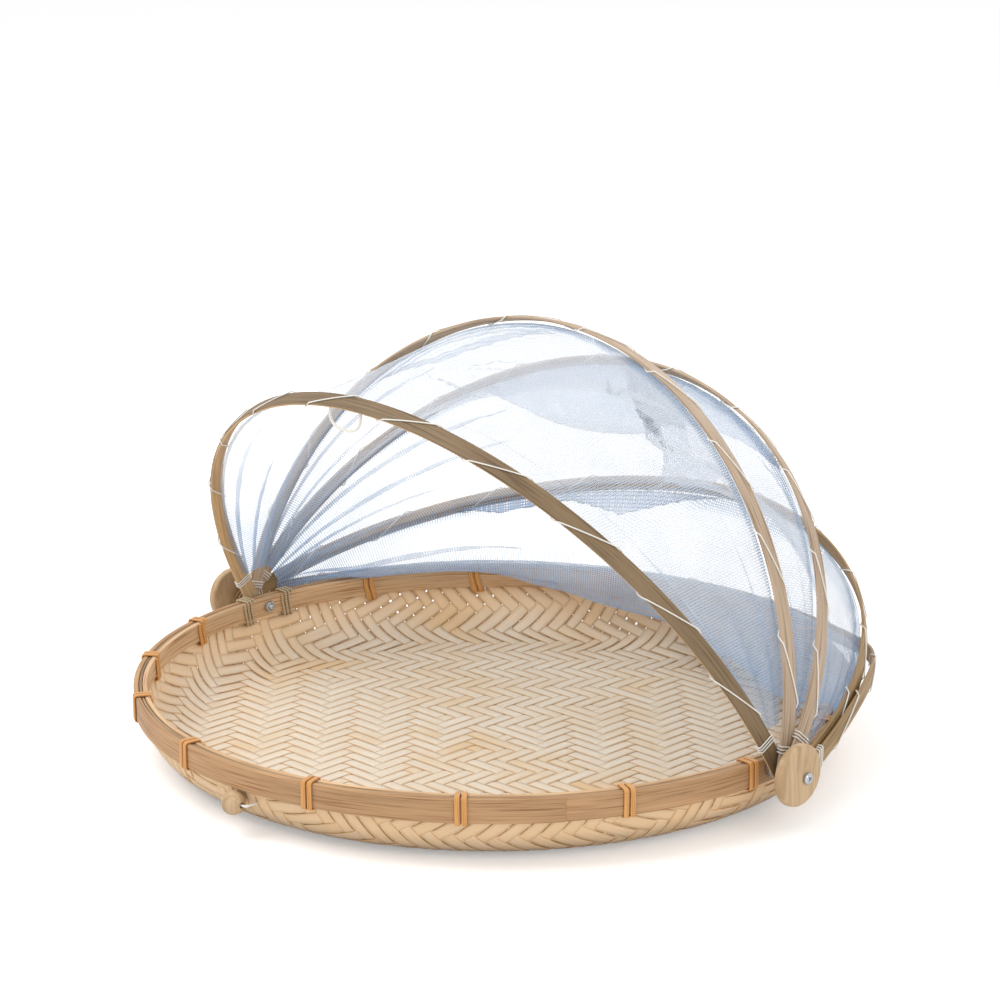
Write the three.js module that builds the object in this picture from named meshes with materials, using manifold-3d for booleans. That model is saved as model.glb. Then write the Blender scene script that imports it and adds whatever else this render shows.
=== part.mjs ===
// A round woven bamboo tray with a folding net canopy: five bamboo hoops turn on one bolt at each
// side of the rim, and four gores of net hang between them.
// Millimetres. The origin is the centre of the tray's flat underside, +X runs along the pivot line
// to the right-hand bolt, -Y is the side that opens, +Z is up. The pose is the half-open one.

import * as THREE from "three";
import { mergeVertices } from "three/addons/utils/BufferGeometryUtils.js";
import Module from "manifold-3d";

const wasm = await Module();
wasm.setup();

// Driving dimensions

const CLEARANCE = 0.3; // between pieces that touch
const CUT_OVERRUN = 2; // how far a cutting tool runs past what it cuts

// Tray
const RIM_RADIUS = 185;
const TRAY_HEIGHT = 36;
const OUTER_BAND_HEIGHT = 12.2;
const OUTER_BAND_WALL = 2.6;
const INNER_BAND_HEIGHT = 10.4;
const INNER_BAND_WALL = 2.5;
const WEAVE_WALL = 1.4;
const WEAVE_TOP_DROP = 3; // from the top of the rim to the cut edge of the weave
const FLOOR_RADIUS = 147; // of the flat the tray stands on
const FLARE_WIDTH_SHARES = [0.72, 0.86]; // of the way from the flat to the wall
const FLARE_RISE_SHARE = 0.4; // of the height where the weave meets the bands
const FILLER_DROP = 0.4; // from the top of the rim to the filler splint
const OUTER_SCARF_ANGLE = 316; // where the band's two thinned ends start to overlap
const INNER_SCARF_ANGLE = 52;
const SCARF_SWEEP = 9;
const RIM_STEPS = 64;
const FLARE_STEPS = 5;

// Rattan ties round the rim, by their place in degrees from +X, anticlockwise from above
const TIE_ANGLES = [
  20, 43, 66, 89, 112, 137.7, 158, 198, 217.4, 238.4, 261.7, 287.5, 310.7, 334.8, 356.7,
];
const TIE_STRAND_WIDTH = 2.6;
const TIE_STRAND_THICKNESS = 0.9;
const TIE_TURNS = 2;
const TIE_PITCH = 3.3;

// Cord lashings beside the pivots
const LASHING_CORD = 1.1;
const LASHING_TURNS = 3;
const LASHING_PITCH = 2.4;
const LASHING_OFFSET = 14; // from the bolt to the middle of a lashing, along the rim

// Pivots
const PIVOT_DROP = 5; // bolt's axis below the top of the rim
const SCREW_RADIUS = 1.5;
const SCREW_HEAD_RADIUS = 2.8;
const SCREW_HEAD_HEIGHT = 2;
const SCREW_TIP = 1.6; // past the nut
const SCREW_CROWN_SHARES = [0.75, 0.93]; // of the head's radius and height, where its crown turns in
const RECESS_LENGTH = 3;
const RECESS_WIDTH = 0.7;
const RECESS_DEPTH = 1.1;
const RECESS_ANGLE = 36;
const NUT_ACROSS_FLATS = 5.5;
const NUT_THICKNESS = 2.4;
const WASHER_RADIUS = 4.5;
const SPACER_THICKNESS = 2.8;
const DISC_RADIUS = 15.2;
const DISC_THICKNESS = 4.6;
const DISC_EDGE_ROUND = 1.3;
const DISC_EDGE_SHARE = 0.3; // of the edge's round, where its corner is cut
const DISC_OFFSET = 3.8; // disc's centre ahead of the bolt
const DISC_LIFT = 2; // disc's centre above the bolt

// Hoops, from the front one to the rear one: the angle of each plane above the front horizon,
// the rise from the bolt to the crest, and how square the arch is (2 is an ellipse)
const HOOP_ANGLES = [59.8, 104.2, 128, 161, 180];
const HOOP_RISES = [187, 187, 187.5, 196, 196];
const HOOP_ROUNDNESS_SHARES = [1.97, 1.95, 1.93, 1.88, 1.86];
const HOOP_BENDS = [0, 0, 0, 0, 24]; // how far a right leg bends out of its hoop's plane
const BEND_START = 8; // from the bolt, along the leg
const HOOP_WIDTH = 9;
const HOOP_THICKNESS = 1.7;
const HOOP_PITCH = 2.9; // from one hoop to the next on the bolt
const HOOP_STEPS = 36;
const BENT_HOOP_STEPS = 52;

// White thread that laces the net to each hoop, and the whipping at each hoop's ends
const THREAD = 0.5;
const LACING_START = 30; // along the hoop, from the bolt
const LACING_TURNS = 10;
// Shares of one turn's length at each of its eight corners: over the outer face slowly, round an
// edge quickly, back along the inner face, and round the other edge
const LACING_TURN_SHARES = [0, 0.04, 0.3, 0.56, 0.6, 0.64, 0.8, 0.96];
const WHIPPING_TURNS = 3;
const WHIPPING_PITCH = 1.5;
const WHIPPING_STARTS = [15.5, 8, 15.5, 8, 15.5]; // along the hoop, from the bolt
const THREAD_SIDES = 4;

// Net
const NET_THICKNESS = 0.6; // of the closed shell that stands for the tulle
const NET_START = 22; // along the hoop, from the bolt
const NET_SEAM = 0.6; // half the space between two gores under a hoop
const NET_SAGS = [3, 22, 20, 9]; // how far each gore hangs in at its middle
const NET_FOLDS = [0, 5, 5, 2]; // depth of its folds
const NET_FOLD_COUNTS = [1, 2, 2, 1];
const NET_STEPS = 18;
const NET_CROSS_STEPS = 6;

// Bead and pull loop
const BEAD_RADIUS = 5.9;
const BEAD_BORE_RADIUS = 1.5;
const BEAD_ANGLE = 273.5; // place on the rim, as for the ties
const BEAD_DROP = 6.6; // bead's centre below the outer band
const BEAD_CORD = 1.2;
const BEAD_CORD_SPAN = 17; // between the two holes in the weave
const PULL_CORD = 1.5;
// The elastic loop's route below the crest of the front hoop, from one end to the other
const PULL_ROUTE = [
  [-17, -94.6, 189.4],
  [-17.6, -94.6, 186.2],
  [-16.6, -94.6, 182.4],
  [-13.6, -94.6, 180],
  [-9.5, -94.6, 179],
  [-4.5, -94.6, 178.9],
  [-0.3, -94.6, 179.9],
  [2.9, -94.6, 182.2],
  [4.4, -94.6, 186.4],
  [4, -94.6, 190],
];

// Derived sizes

const TO_RADIANS = Math.PI / 180;
const PIVOT_HEIGHT = TRAY_HEIGHT - PIVOT_DROP;
const OUTER_BAND_INNER = RIM_RADIUS - OUTER_BAND_WALL;
const WALL_RADIUS = OUTER_BAND_INNER - CLEARANCE;
const WALL_INNER = WALL_RADIUS - WEAVE_WALL;
const INNER_BAND_OUTER = WALL_INNER - CLEARANCE;
const INNER_BAND_INNER = INNER_BAND_OUTER - INNER_BAND_WALL;
const OUTER_BAND_BOTTOM = TRAY_HEIGHT - OUTER_BAND_HEIGHT;
const INNER_BAND_BOTTOM = TRAY_HEIGHT - INNER_BAND_HEIGHT;
const WEAVE_TOP = TRAY_HEIGHT - WEAVE_TOP_DROP;
const SPACER_START = RIM_RADIUS + CLEARANCE;
const FIRST_HOOP = SPACER_START + SPACER_THICKNESS + CLEARANCE + HOOP_THICKNESS / 2;
const HOOP_REACHES = HOOP_ANGLES.map((angle, i) => FIRST_HOOP + HOOP_PITCH * i);
const DISC_START = HOOP_REACHES.at(-1) + HOOP_THICKNESS / 2 + CLEARANCE;
const SCREW_HEAD_START = DISC_START + DISC_THICKNESS + CLEARANCE;
const NUT_START = INNER_BAND_INNER - CLEARANCE;
const SCREW_END = NUT_START - NUT_THICKNESS - SCREW_TIP;
const BORE_RADIUS = SCREW_RADIUS + CLEARANCE;
const THREAD_STANDOFF = CLEARANCE + THREAD / 2; // thread's middle from the face it lies on

// Colours, roughness and metalness from the photographed object

const finish = (color, roughness, metalness = 0) =>
  new THREE.MeshStandardMaterial({ color, roughness, metalness });
const WOVEN_BAMBOO = finish("#e3c895", 0.75);
const RIM_BAMBOO = finish("#b98f5e", 0.6);
const INNER_BAMBOO = finish("#a67c4b", 0.65);
const RATTAN = finish("#e2a352", 0.5);
const HOOP_BAMBOO = finish("#9a8258", 0.6);
const WHITE_THREAD = finish("#f1eee6", 0.8);
const TAN_CORD = finish("#cbb084", 0.85);
const NET = finish("#dbe7f5", 0.9);
const BEECH = finish("#dcb683", 0.55);
const ZINC = finish("#b9bcc2", 0.3, 0.9);
const ELASTIC = finish("#f5f3ee", 0.8);

// The assembly

const part = new THREE.Group();
part.name = "bamboo_tray_with_net_canopy";

function addPiece(name, geometry, material, parent = part) {
  const mesh = new THREE.Mesh(geometry, material);
  mesh.name = name;
  parent.add(mesh);
  return mesh;
}

// Solids for cutting and joining

function solidOf(geometry) {
  const bare = new THREE.BufferGeometry();
  bare.setAttribute("position", geometry.getAttribute("position").clone());
  if (geometry.index) bare.setIndex(geometry.index.clone());
  const merged = mergeVertices(bare, 1e-4);
  return new wasm.Manifold(
    new wasm.Mesh({
      numProp: 3,
      vertProperties: new Float32Array(merged.attributes.position.array),
      triVerts: new Uint32Array(merged.index.array),
    }),
  );
}

function geometryOf(solid) {
  const mesh = solid.getMesh();
  const geometry = new THREE.BufferGeometry();
  geometry.setAttribute("position", new THREE.BufferAttribute(mesh.vertProperties, 3));
  geometry.setIndex(new THREE.BufferAttribute(mesh.triVerts, 1));
  const flat = geometry.toNonIndexed();
  flat.computeVertexNormals();
  return flat;
}

function cut(geometry, tools) {
  let solid = solidOf(geometry);
  for (const tool of tools) solid = solid.subtract(solidOf(tool));
  return geometryOf(solid);
}

// A ring turned about +Z from a closed profile of [radius, height] points.
function turned(profile, steps) {
  const points = profile.map(([radius, height]) => new THREE.Vector2(radius, height));
  return new THREE.LatheGeometry(points, steps).rotateX(Math.PI / 2);
}

// A rod along X from one end to the other, at a height.
function rodAlongX(radius, from, to, sides, height = 0) {
  const rod = new THREE.CylinderGeometry(radius, radius, to - from, sides);
  rod.rotateZ(Math.PI / 2);
  return rod.translate((from + to) / 2, 0, height);
}

// A tube of any section along stations {at, side, out}: side and out are unit vectors across the
// path, and the section's [side, out] points run anticlockwise seen against the path.
function swept(stations, section, isLoop = false) {
  const positions = [];
  for (const { at, side, out } of stations) {
    for (const [s, o] of section) {
      const point = at.clone().addScaledVector(side, s).addScaledVector(out, o);
      positions.push(point.x, point.y, point.z);
    }
  }
  const sides = section.length;
  const spans = isLoop ? stations.length : stations.length - 1;
  const index = [];
  for (let i = 0; i < spans; i += 1) {
    const next = (i + 1) % stations.length;
    for (let j = 0; j < sides; j += 1) {
      const k = (j + 1) % sides;
      index.push(i * sides + j, i * sides + k, next * sides + k);
      index.push(i * sides + j, next * sides + k, next * sides + j);
    }
  }
  if (!isLoop) {
    const last = (stations.length - 1) * sides;
    for (let j = 1; j < sides - 1; j += 1) {
      index.push(0, j + 1, j);
      index.push(last, last + j, last + j + 1);
    }
  }
  const geometry = new THREE.BufferGeometry();
  geometry.setAttribute("position", new THREE.Float32BufferAttribute(positions, 3));
  geometry.setIndex(index);
  return geometry;
}

// Stations along a list of points, each turned so that its out vector leans to a hint.
function stationsAlong(points, hints, isLoop = false) {
  const count = points.length;
  return points.map((at, i) => {
    const before = isLoop ? points[(i + count - 1) % count] : points[Math.max(i - 1, 0)];
    const after = isLoop ? points[(i + 1) % count] : points[Math.min(i + 1, count - 1)];
    const along = after.clone().sub(before).normalize();
    const side = hints[i].clone().cross(along).normalize();
    const out = along.clone().cross(side).normalize();
    return { at, side, out };
  });
}

function roundSection(radius, sides) {
  return Array.from({ length: sides }, (none, i) => {
    const turn = (2 * Math.PI * (i + 1 / 2)) / sides;
    return [radius * Math.sin(turn), -radius * Math.cos(turn)];
  });
}

function flatSection(width, thickness) {
  const halfWidth = width / 2;
  const halfThickness = thickness / 2;
  return [
    [-halfWidth, -halfThickness],
    [halfWidth, -halfThickness],
    [halfWidth, halfThickness],
    [-halfWidth, halfThickness],
  ];
}

// The least distance between turns of one winding: sample points more than a turn's share apart.
function leastSelfGap(points, diameter, stepsPerTurn) {
  const fine = [];
  for (let i = 0; i + 1 < points.length; i += 1) {
    for (let quarter = 0; quarter < 4; quarter += 1) {
      fine.push(points[i].clone().lerp(points[i + 1], quarter / 4));
    }
  }
  const apart = stepsPerTurn * 2; // half a turn
  let least = Infinity;
  for (let i = 0; i < fine.length; i += 1) {
    for (let j = i + apart; j < fine.length; j += 1) {
      least = Math.min(least, fine[i].distanceTo(fine[j]));
    }
  }
  return least - diameter;
}

// Tray

// The height at which the flaring weave meets the bands.
const FLARE_TOP = OUTER_BAND_BOTTOM + CLEARANCE;

// The outer face of the weave, from the flat floor up to the bands, as radius and height.
const flareWidthAt = (share) => FLOOR_RADIUS + (WALL_RADIUS - FLOOR_RADIUS) * share;
const flare = new THREE.CubicBezierCurve(
  new THREE.Vector2(FLOOR_RADIUS, 0),
  new THREE.Vector2(flareWidthAt(FLARE_WIDTH_SHARES[0]), 0),
  new THREE.Vector2(flareWidthAt(FLARE_WIDTH_SHARES[1]), FLARE_TOP * FLARE_RISE_SHARE),
  new THREE.Vector2(WALL_RADIUS, FLARE_TOP),
);

function weaveFlare(inset) {
  return Array.from({ length: FLARE_STEPS + 1 }, (none, i) => {
    const point = flare.getPoint(i / FLARE_STEPS);
    const along = flare.getTangent(i / FLARE_STEPS);
    return [point.x - along.y * inset, point.y + along.x * inset];
  });
}

// The flare's radius at a height, and how much longer a level line through its wall is than the
// wall is thick.
function flareAt(height) {
  let low = 0;
  let high = 1;
  for (let i = 0; i < 40; i += 1) {
    const middle = (low + high) / 2;
    if (flare.getPoint(middle).y < height) {
      low = middle;
    } else {
      high = middle;
    }
  }
  return { radius: flare.getPoint(low).x, slant: 1 / flare.getTangent(low).y };
}

function wovenBase() {
  const outer = [...weaveFlare(0), [WALL_RADIUS, WEAVE_TOP]];
  const inner = [[WALL_INNER, WEAVE_TOP], ...weaveFlare(WEAVE_WALL).reverse()];
  const profile = [[0, 0], ...outer, ...inner, [0, WEAVE_WALL]];
  const shell = turned(profile, RIM_STEPS);
  const slots = wraps.map(({ angle, width, thickness }) => {
    const slot = new THREE.BoxGeometry(
      WEAVE_WALL + 2 * CUT_OVERRUN,
      width + 2 * CLEARANCE,
      thickness + 2 * CLEARANCE,
    );
    const height = OUTER_BAND_BOTTOM - CLEARANCE - thickness / 2;
    slot.translate(WALL_RADIUS - WEAVE_WALL / 2, 0, height);
    return slot.rotateZ(angle * TO_RADIANS);
  });
  return cut(shell, [...slots, boltBore(), ...beadHoles()]);
}

// The bore for both bolts, right across the rim.
function boltBore() {
  const end = RIM_RADIUS + CUT_OVERRUN;
  return rodAlongX(BORE_RADIUS, -end, end, 16, PIVOT_HEIGHT);
}

// A band bent once round the rim, its two ends thinned and overlapped as a scarf.
function scarfedBand(innerRadius, wall, bottom, height, scarfAngle) {
  const inner = [];
  const outer = [];
  const end = 360 + SCARF_SWEEP;
  const steps = RIM_STEPS + 4;
  const gapShare = CLEARANCE / wall;
  for (let i = 0; i <= steps; i += 1) {
    const travel = (end * i) / steps;
    const taperIn = Math.min(travel / SCARF_SWEEP, 1);
    const taperOut = Math.min((end - travel) / SCARF_SWEEP, 1);
    const top = travel < SCARF_SWEEP ? taperIn * (1 - 2 * gapShare) + gapShare / 2 : 1;
    const foot = travel > 360 ? (1 - taperOut) * (1 - 2 * gapShare) + (3 * gapShare) / 2 : 0;
    const turn = (scarfAngle + travel) * TO_RADIANS;
    inner.push([innerRadius + wall * foot, turn]);
    outer.push([innerRadius + wall * top, turn]);
  }
  const outline = [...outer, ...inner.reverse()].map(
    ([radius, turn]) => new THREE.Vector2(radius * Math.cos(turn), radius * Math.sin(turn)),
  );
  const band = new THREE.ExtrudeGeometry(new THREE.Shape(outline), {
    depth: height,
    bevelEnabled: false,
    steps: 1,
  });
  band.translate(0, 0, bottom);
  return cut(band, [boltBore()]);
}

function fillerSplint() {
  const bottom = WEAVE_TOP + CLEARANCE;
  const top = TRAY_HEIGHT - FILLER_DROP;
  const section = [
    [WALL_INNER, bottom],
    [WALL_RADIUS, bottom],
    [WALL_RADIUS, top],
    [WALL_INNER, top],
    [WALL_INNER, bottom],
  ];
  return turned(section, RIM_STEPS);
}

// A strand wound round the rim's section, through the weave under the bands.
function rimWrap({ angle, turns, pitch, width, thickness, section }) {
  const reach = CLEARANCE + thickness / 2;
  const low = OUTER_BAND_BOTTOM - reach;
  const high = TRAY_HEIGHT + reach;
  const inside = INNER_BAND_INNER - reach;
  const outside = RIM_RADIUS + reach;
  const round = reach;
  const corners = [
    [inside, low + round],
    [inside, high - round],
    [inside + round, high],
    [outside - round, high],
    [outside, high - round],
    [outside, low + round],
    [outside - round, low],
    [inside + round, low],
  ];
  const middle = new THREE.Vector3((inside + outside) / 2, 0, (low + high) / 2);
  const points = [];
  const hints = [];
  const steps = turns * corners.length;
  for (let i = 0; i <= steps; i += 1) {
    const [radius, height] = corners[i % corners.length];
    const along = pitch * (i / corners.length - turns / 2);
    const sagitta = radius - Math.sqrt(radius * radius - along * along);
    points.push(new THREE.Vector3(radius - sagitta, along, height));
    hints.push(new THREE.Vector3(radius - middle.x, 0, height - middle.z));
  }
  const wrap = swept(stationsAlong(points, hints), section);
  const gap = leastSelfGap(points, width, corners.length);
  return { geometry: wrap.rotateZ(angle * TO_RADIANS), gap };
}

const LASHING_SWEEP = LASHING_OFFSET / RIM_RADIUS / TO_RADIANS;
const HALF_TURN = 180;
const LASHING_ANGLES = {
  right_rear: LASHING_SWEEP,
  left_rear: HALF_TURN - LASHING_SWEEP,
  left_front: HALF_TURN + LASHING_SWEEP,
};
const TIE = {
  turns: TIE_TURNS,
  pitch: TIE_PITCH,
  width: TIE_STRAND_WIDTH,
  thickness: TIE_STRAND_THICKNESS,
  section: flatSection(TIE_STRAND_WIDTH, TIE_STRAND_THICKNESS),
};
const LASHING = {
  turns: LASHING_TURNS,
  pitch: LASHING_PITCH,
  width: LASHING_CORD,
  thickness: LASHING_CORD,
  section: roundSection(LASHING_CORD / 2, 5),
};

// The room that each strand takes where it passes through the weave.
const wrapRoom = ({ turns, pitch, width, thickness }, angle) => ({
  angle,
  width: turns * pitch + width,
  thickness,
});
const wraps = [
  ...TIE_ANGLES.map((angle) => wrapRoom(TIE, angle)),
  ...Object.values(LASHING_ANGLES).map((angle) => wrapRoom(LASHING, angle)),
];

function addWrap(name, kind, angle, material) {
  const { geometry, gap } = rimWrap({ ...kind, angle });
  addPiece(name, geometry, material);
  return gap;
}

function addTray() {
  addPiece("woven_base", wovenBase(), WOVEN_BAMBOO);
  const outerBand = scarfedBand(
    OUTER_BAND_INNER,
    OUTER_BAND_WALL,
    OUTER_BAND_BOTTOM,
    OUTER_BAND_HEIGHT,
    OUTER_SCARF_ANGLE,
  );
  addPiece("rim_outer_band", outerBand, RIM_BAMBOO);
  const innerBand = scarfedBand(
    INNER_BAND_INNER,
    INNER_BAND_WALL,
    INNER_BAND_BOTTOM,
    INNER_BAND_HEIGHT,
    INNER_SCARF_ANGLE,
  );
  addPiece("rim_inner_band", innerBand, INNER_BAMBOO);
  addPiece("rim_filler_splint", fillerSplint(), WOVEN_BAMBOO);
  const tieGaps = TIE_ANGLES.map((angle, i) =>
    addWrap("rattan_tie_" + String(i + 1).padStart(2, "0"), TIE, angle, RATTAN),
  );
  const lashingGaps = Object.entries(LASHING_ANGLES).map(([name, angle]) =>
    addWrap("pivot_lashing_" + name, LASHING, angle, TAN_CORD),
  );
  console.log("least gap between turns, ties:", Math.min(...tieGaps).toFixed(2), "mm");
  console.log("least gap between turns, lashings:", Math.min(...lashingGaps).toFixed(2), "mm");
}

// Pivots

function screw() {
  const [crownWidthShare, crownHeightShare] = SCREW_CROWN_SHARES;
  const head = new THREE.LatheGeometry(
    [
      [0, SCREW_END],
      [SCREW_RADIUS, SCREW_END],
      [SCREW_RADIUS, SCREW_HEAD_START],
      [SCREW_HEAD_RADIUS, SCREW_HEAD_START],
      [SCREW_HEAD_RADIUS, SCREW_HEAD_START + SCREW_HEAD_HEIGHT / 2],
      [SCREW_HEAD_RADIUS * crownWidthShare, SCREW_HEAD_START + SCREW_HEAD_HEIGHT * crownHeightShare],
      [0, SCREW_HEAD_START + SCREW_HEAD_HEIGHT],
    ].map(([radius, along]) => new THREE.Vector2(radius, along)),
    16,
  );
  head.rotateZ(-Math.PI / 2);
  const face = SCREW_HEAD_START + SCREW_HEAD_HEIGHT;
  const depth = RECESS_DEPTH + CUT_OVERRUN;
  const slots = [0, Math.PI / 2].map((turn) => {
    const slot = new THREE.BoxGeometry(depth, RECESS_LENGTH, RECESS_WIDTH);
    slot.rotateX(turn + RECESS_ANGLE * TO_RADIANS);
    return slot.translate(face - RECESS_DEPTH + depth / 2, 0, 0);
  });
  return cut(head, slots);
}

function ringAlongX(outerRadius, innerRadius, from, thickness, sides, innerSides = sides) {
  const ring = rodAlongX(outerRadius, from, from + thickness, sides);
  const bore = rodAlongX(innerRadius, from - CUT_OVERRUN, from + thickness + CUT_OVERRUN, innerSides);
  return cut(ring, [bore]);
}

function woodenDisc() {
  const round = DISC_EDGE_ROUND;
  const corner = DISC_EDGE_ROUND * DISC_EDGE_SHARE;
  const profile = [
    [0, 0],
    [DISC_RADIUS - round, 0],
    [DISC_RADIUS - corner, corner],
    [DISC_RADIUS, round],
    [DISC_RADIUS, DISC_THICKNESS - round],
    [DISC_RADIUS - corner, DISC_THICKNESS - corner],
    [DISC_RADIUS - round, DISC_THICKNESS],
    [0, DISC_THICKNESS],
  ];
  const disc = new THREE.LatheGeometry(
    profile.map(([radius, along]) => new THREE.Vector2(radius, along)),
    28,
  );
  disc.rotateZ(-Math.PI / 2).translate(DISC_START, -DISC_OFFSET, DISC_LIFT);
  const bore = rodAlongX(BORE_RADIUS, DISC_START - CUT_OVERRUN, SCREW_HEAD_START + CUT_OVERRUN, 16);
  return cut(disc, [bore]);
}

function addPivots() {
  const nutRadius = NUT_ACROSS_FLATS / Math.sqrt(3);
  const makers = {
    pivot_screw: [screw, ZINC],
    pivot_nut: [
      () => ringAlongX(nutRadius, BORE_RADIUS, NUT_START - NUT_THICKNESS, NUT_THICKNESS, 6, 16),
      ZINC,
    ],
    pivot_spacer: [
      () => ringAlongX(WASHER_RADIUS, BORE_RADIUS, SPACER_START, SPACER_THICKNESS, 20),
      ZINC,
    ],
    wooden_disc: [woodenDisc, BEECH],
  };
  for (const [side, sign] of [
    ["right", 1],
    ["left", -1],
  ]) {
    const pivot = new THREE.Group();
    pivot.position.z = PIVOT_HEIGHT;
    pivot.scale.x = sign;
    part.add(pivot);
    for (const [name, [make, material]] of Object.entries(makers)) {
      addPiece(side + "_" + name, make(), material, pivot);
    }
  }
}

// Hoops

// The middle line of a hoop in its own plane, as {at, out} with x across and y from the bolt up:
// the arch from the right-hand bolt over to the left-hand one.
function archPoint(reach, rise, power, turn) {
  const cos = Math.cos(turn);
  const sin = Math.sin(turn);
  const x = Math.sign(cos) * reach * Math.abs(cos) ** (2 / power);
  const y = rise * Math.abs(sin) ** (2 / power);
  const gradient = new THREE.Vector2(
    Math.sign(x) * Math.abs(x / reach) ** (power - 1) / reach,
    Math.abs(y / rise) ** (power - 1) / rise,
  );
  return { at: new THREE.Vector2(x, y), out: gradient.normalize() };
}

class Arch {
  constructor(i) {
    this.reach = HOOP_REACHES[i];
    this.rise = HOOP_RISES[i];
    this.power = HOOP_ROUNDNESS_SHARES[i];
    this.bend = HOOP_BENDS[i];
    this.steps = 400;
    this.points = [];
    this.lengths = [];
    for (let k = 0; k <= this.steps; k += 1) {
      const point = archPoint(this.reach, this.rise, this.power, (Math.PI * k) / this.steps);
      const before = this.points.at(-1);
      this.lengths.push(before ? this.lengths.at(-1) + before.at.distanceTo(point.at) : 0);
      this.points.push(point);
    }
    this.length = this.lengths.at(-1);
  }

  // How far the hoop stands out of its own plane at a point of it.
  lean({ x, y }) {
    const share = (y - BEND_START) / (this.rise - BEND_START);
    const legShare = Math.max(x, 0) / this.reach;
    return this.bend * legShare * Math.sin(Math.PI * Math.min(Math.max(share, 0), 1));
  }

  // The point a given length along the arch.
  along(length) {
    let k = this.lengths.findIndex((each) => each >= length);
    k = Math.max(k, 1);
    const share = (length - this.lengths[k - 1]) / (this.lengths[k] - this.lengths[k - 1]);
    const at = this.points[k - 1].at.clone().lerp(this.points[k].at, share);
    const out = this.points[k - 1].out.clone().lerp(this.points[k].out, share).normalize();
    return { at, out };
  }
}

const ARCHES = HOOP_ANGLES.map((angle, i) => new Arch(i));

// Turns a hoop's own plane, y away from the bolts, to its angle above the front horizon.
function hoopTurn(angle) {
  return Math.PI - angle * TO_RADIANS;
}

const RIGHTWARD = new THREE.Vector3(1, 0, 0);
const UPWARD = new THREE.Vector3(0, 0, 1);

// A station of a hoop's strip, bent out of the hoop's plane with the arch.
function stationOn(arch, x, y, out) {
  return { at: new THREE.Vector3(x, y, arch.lean({ x, y })), side: UPWARD, out };
}

// A flat strip along the arch, rounded about the bolt at both ends and bored there. The cutter that
// rounds the ends widens above them, so that it leaves a bent leg whole.
function hoop(i) {
  const arch = ARCHES[i];
  const tail = HOOP_WIDTH / 2;
  const steps = arch.bend ? BENT_HOOP_STEPS : HOOP_STEPS;
  const stations = [stationOn(arch, arch.reach, -tail, RIGHTWARD)];
  for (let k = 0; k <= steps; k += 1) {
    const { at, out } = arch.along((arch.length * k) / steps);
    stations.push(stationOn(arch, at.x, at.y, new THREE.Vector3(out.x, out.y, 0)));
  }
  stations.push(stationOn(arch, -arch.reach, -tail, RIGHTWARD.clone().negate()));
  const strip = swept(stations, flatSection(HOOP_WIDTH, HOOP_THICKNESS));
  const span = arch.reach + HOOP_THICKNESS;
  const room = tail + arch.bend + CUT_OVERRUN;
  const top = arch.rise + HOOP_THICKNESS;
  const trim = new THREE.Shape();
  trim.moveTo(-room, top);
  trim.lineTo(-room, tail);
  trim.lineTo(-tail, tail);
  trim.lineTo(-tail, 0);
  trim.absarc(0, 0, tail, Math.PI, 2 * Math.PI, false);
  trim.lineTo(tail, tail);
  trim.lineTo(room, tail);
  trim.lineTo(room, top);
  const envelope = new THREE.ExtrudeGeometry(trim, {
    depth: 2 * span,
    bevelEnabled: false,
    curveSegments: 8,
  });
  envelope.translate(0, 0, -span).rotateY(Math.PI / 2);
  const rounded = geometryOf(solidOf(strip).intersect(solidOf(envelope)));
  return cut(rounded, [rodAlongX(BORE_RADIUS, -span, span, 16)]);
}

// Eight corners of a thread's path round a hoop's section, as [across the width, off the face].
function threadCorners() {
  const wide = HOOP_WIDTH / 2 + THREAD_STANDOFF;
  const high = HOOP_THICKNESS / 2 + THREAD_STANDOFF;
  const inset = THREAD / 2;
  return [
    [wide, 0],
    [wide - inset, high],
    [0, high],
    [-wide + inset, high],
    [-wide, 0],
    [-wide + inset, -high],
    [0, -high],
    [wide - inset, -high],
  ];
}

// A thread wound round a hoop from a start length, turn by turn.
function windingOn(arch, start, turnLength, turns, turnShares) {
  const corners = threadCorners();
  const points = [];
  const hints = [];
  for (let i = 0; i <= turns * corners.length; i += 1) {
    const corner = i % corners.length;
    const turn = Math.floor(i / corners.length);
    const { at, out } = arch.along(start + turnLength * (turn + turnShares[corner]));
    const [across, off] = corners[corner];
    const height = across + arch.lean(at);
    points.push(new THREE.Vector3(at.x + out.x * off, at.y + out.y * off, height));
    hints.push(new THREE.Vector3(out.x * off, out.y * off, across).normalize());
  }
  return { points, hints };
}

function threadTube({ points, hints }) {
  return swept(stationsAlong(points, hints), roundSection(THREAD / 2, THREAD_SIDES));
}

const EVEN_SHARES = [0, 1, 2, 3, 4, 5, 6, 7].map((corner) => corner / 8);

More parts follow.
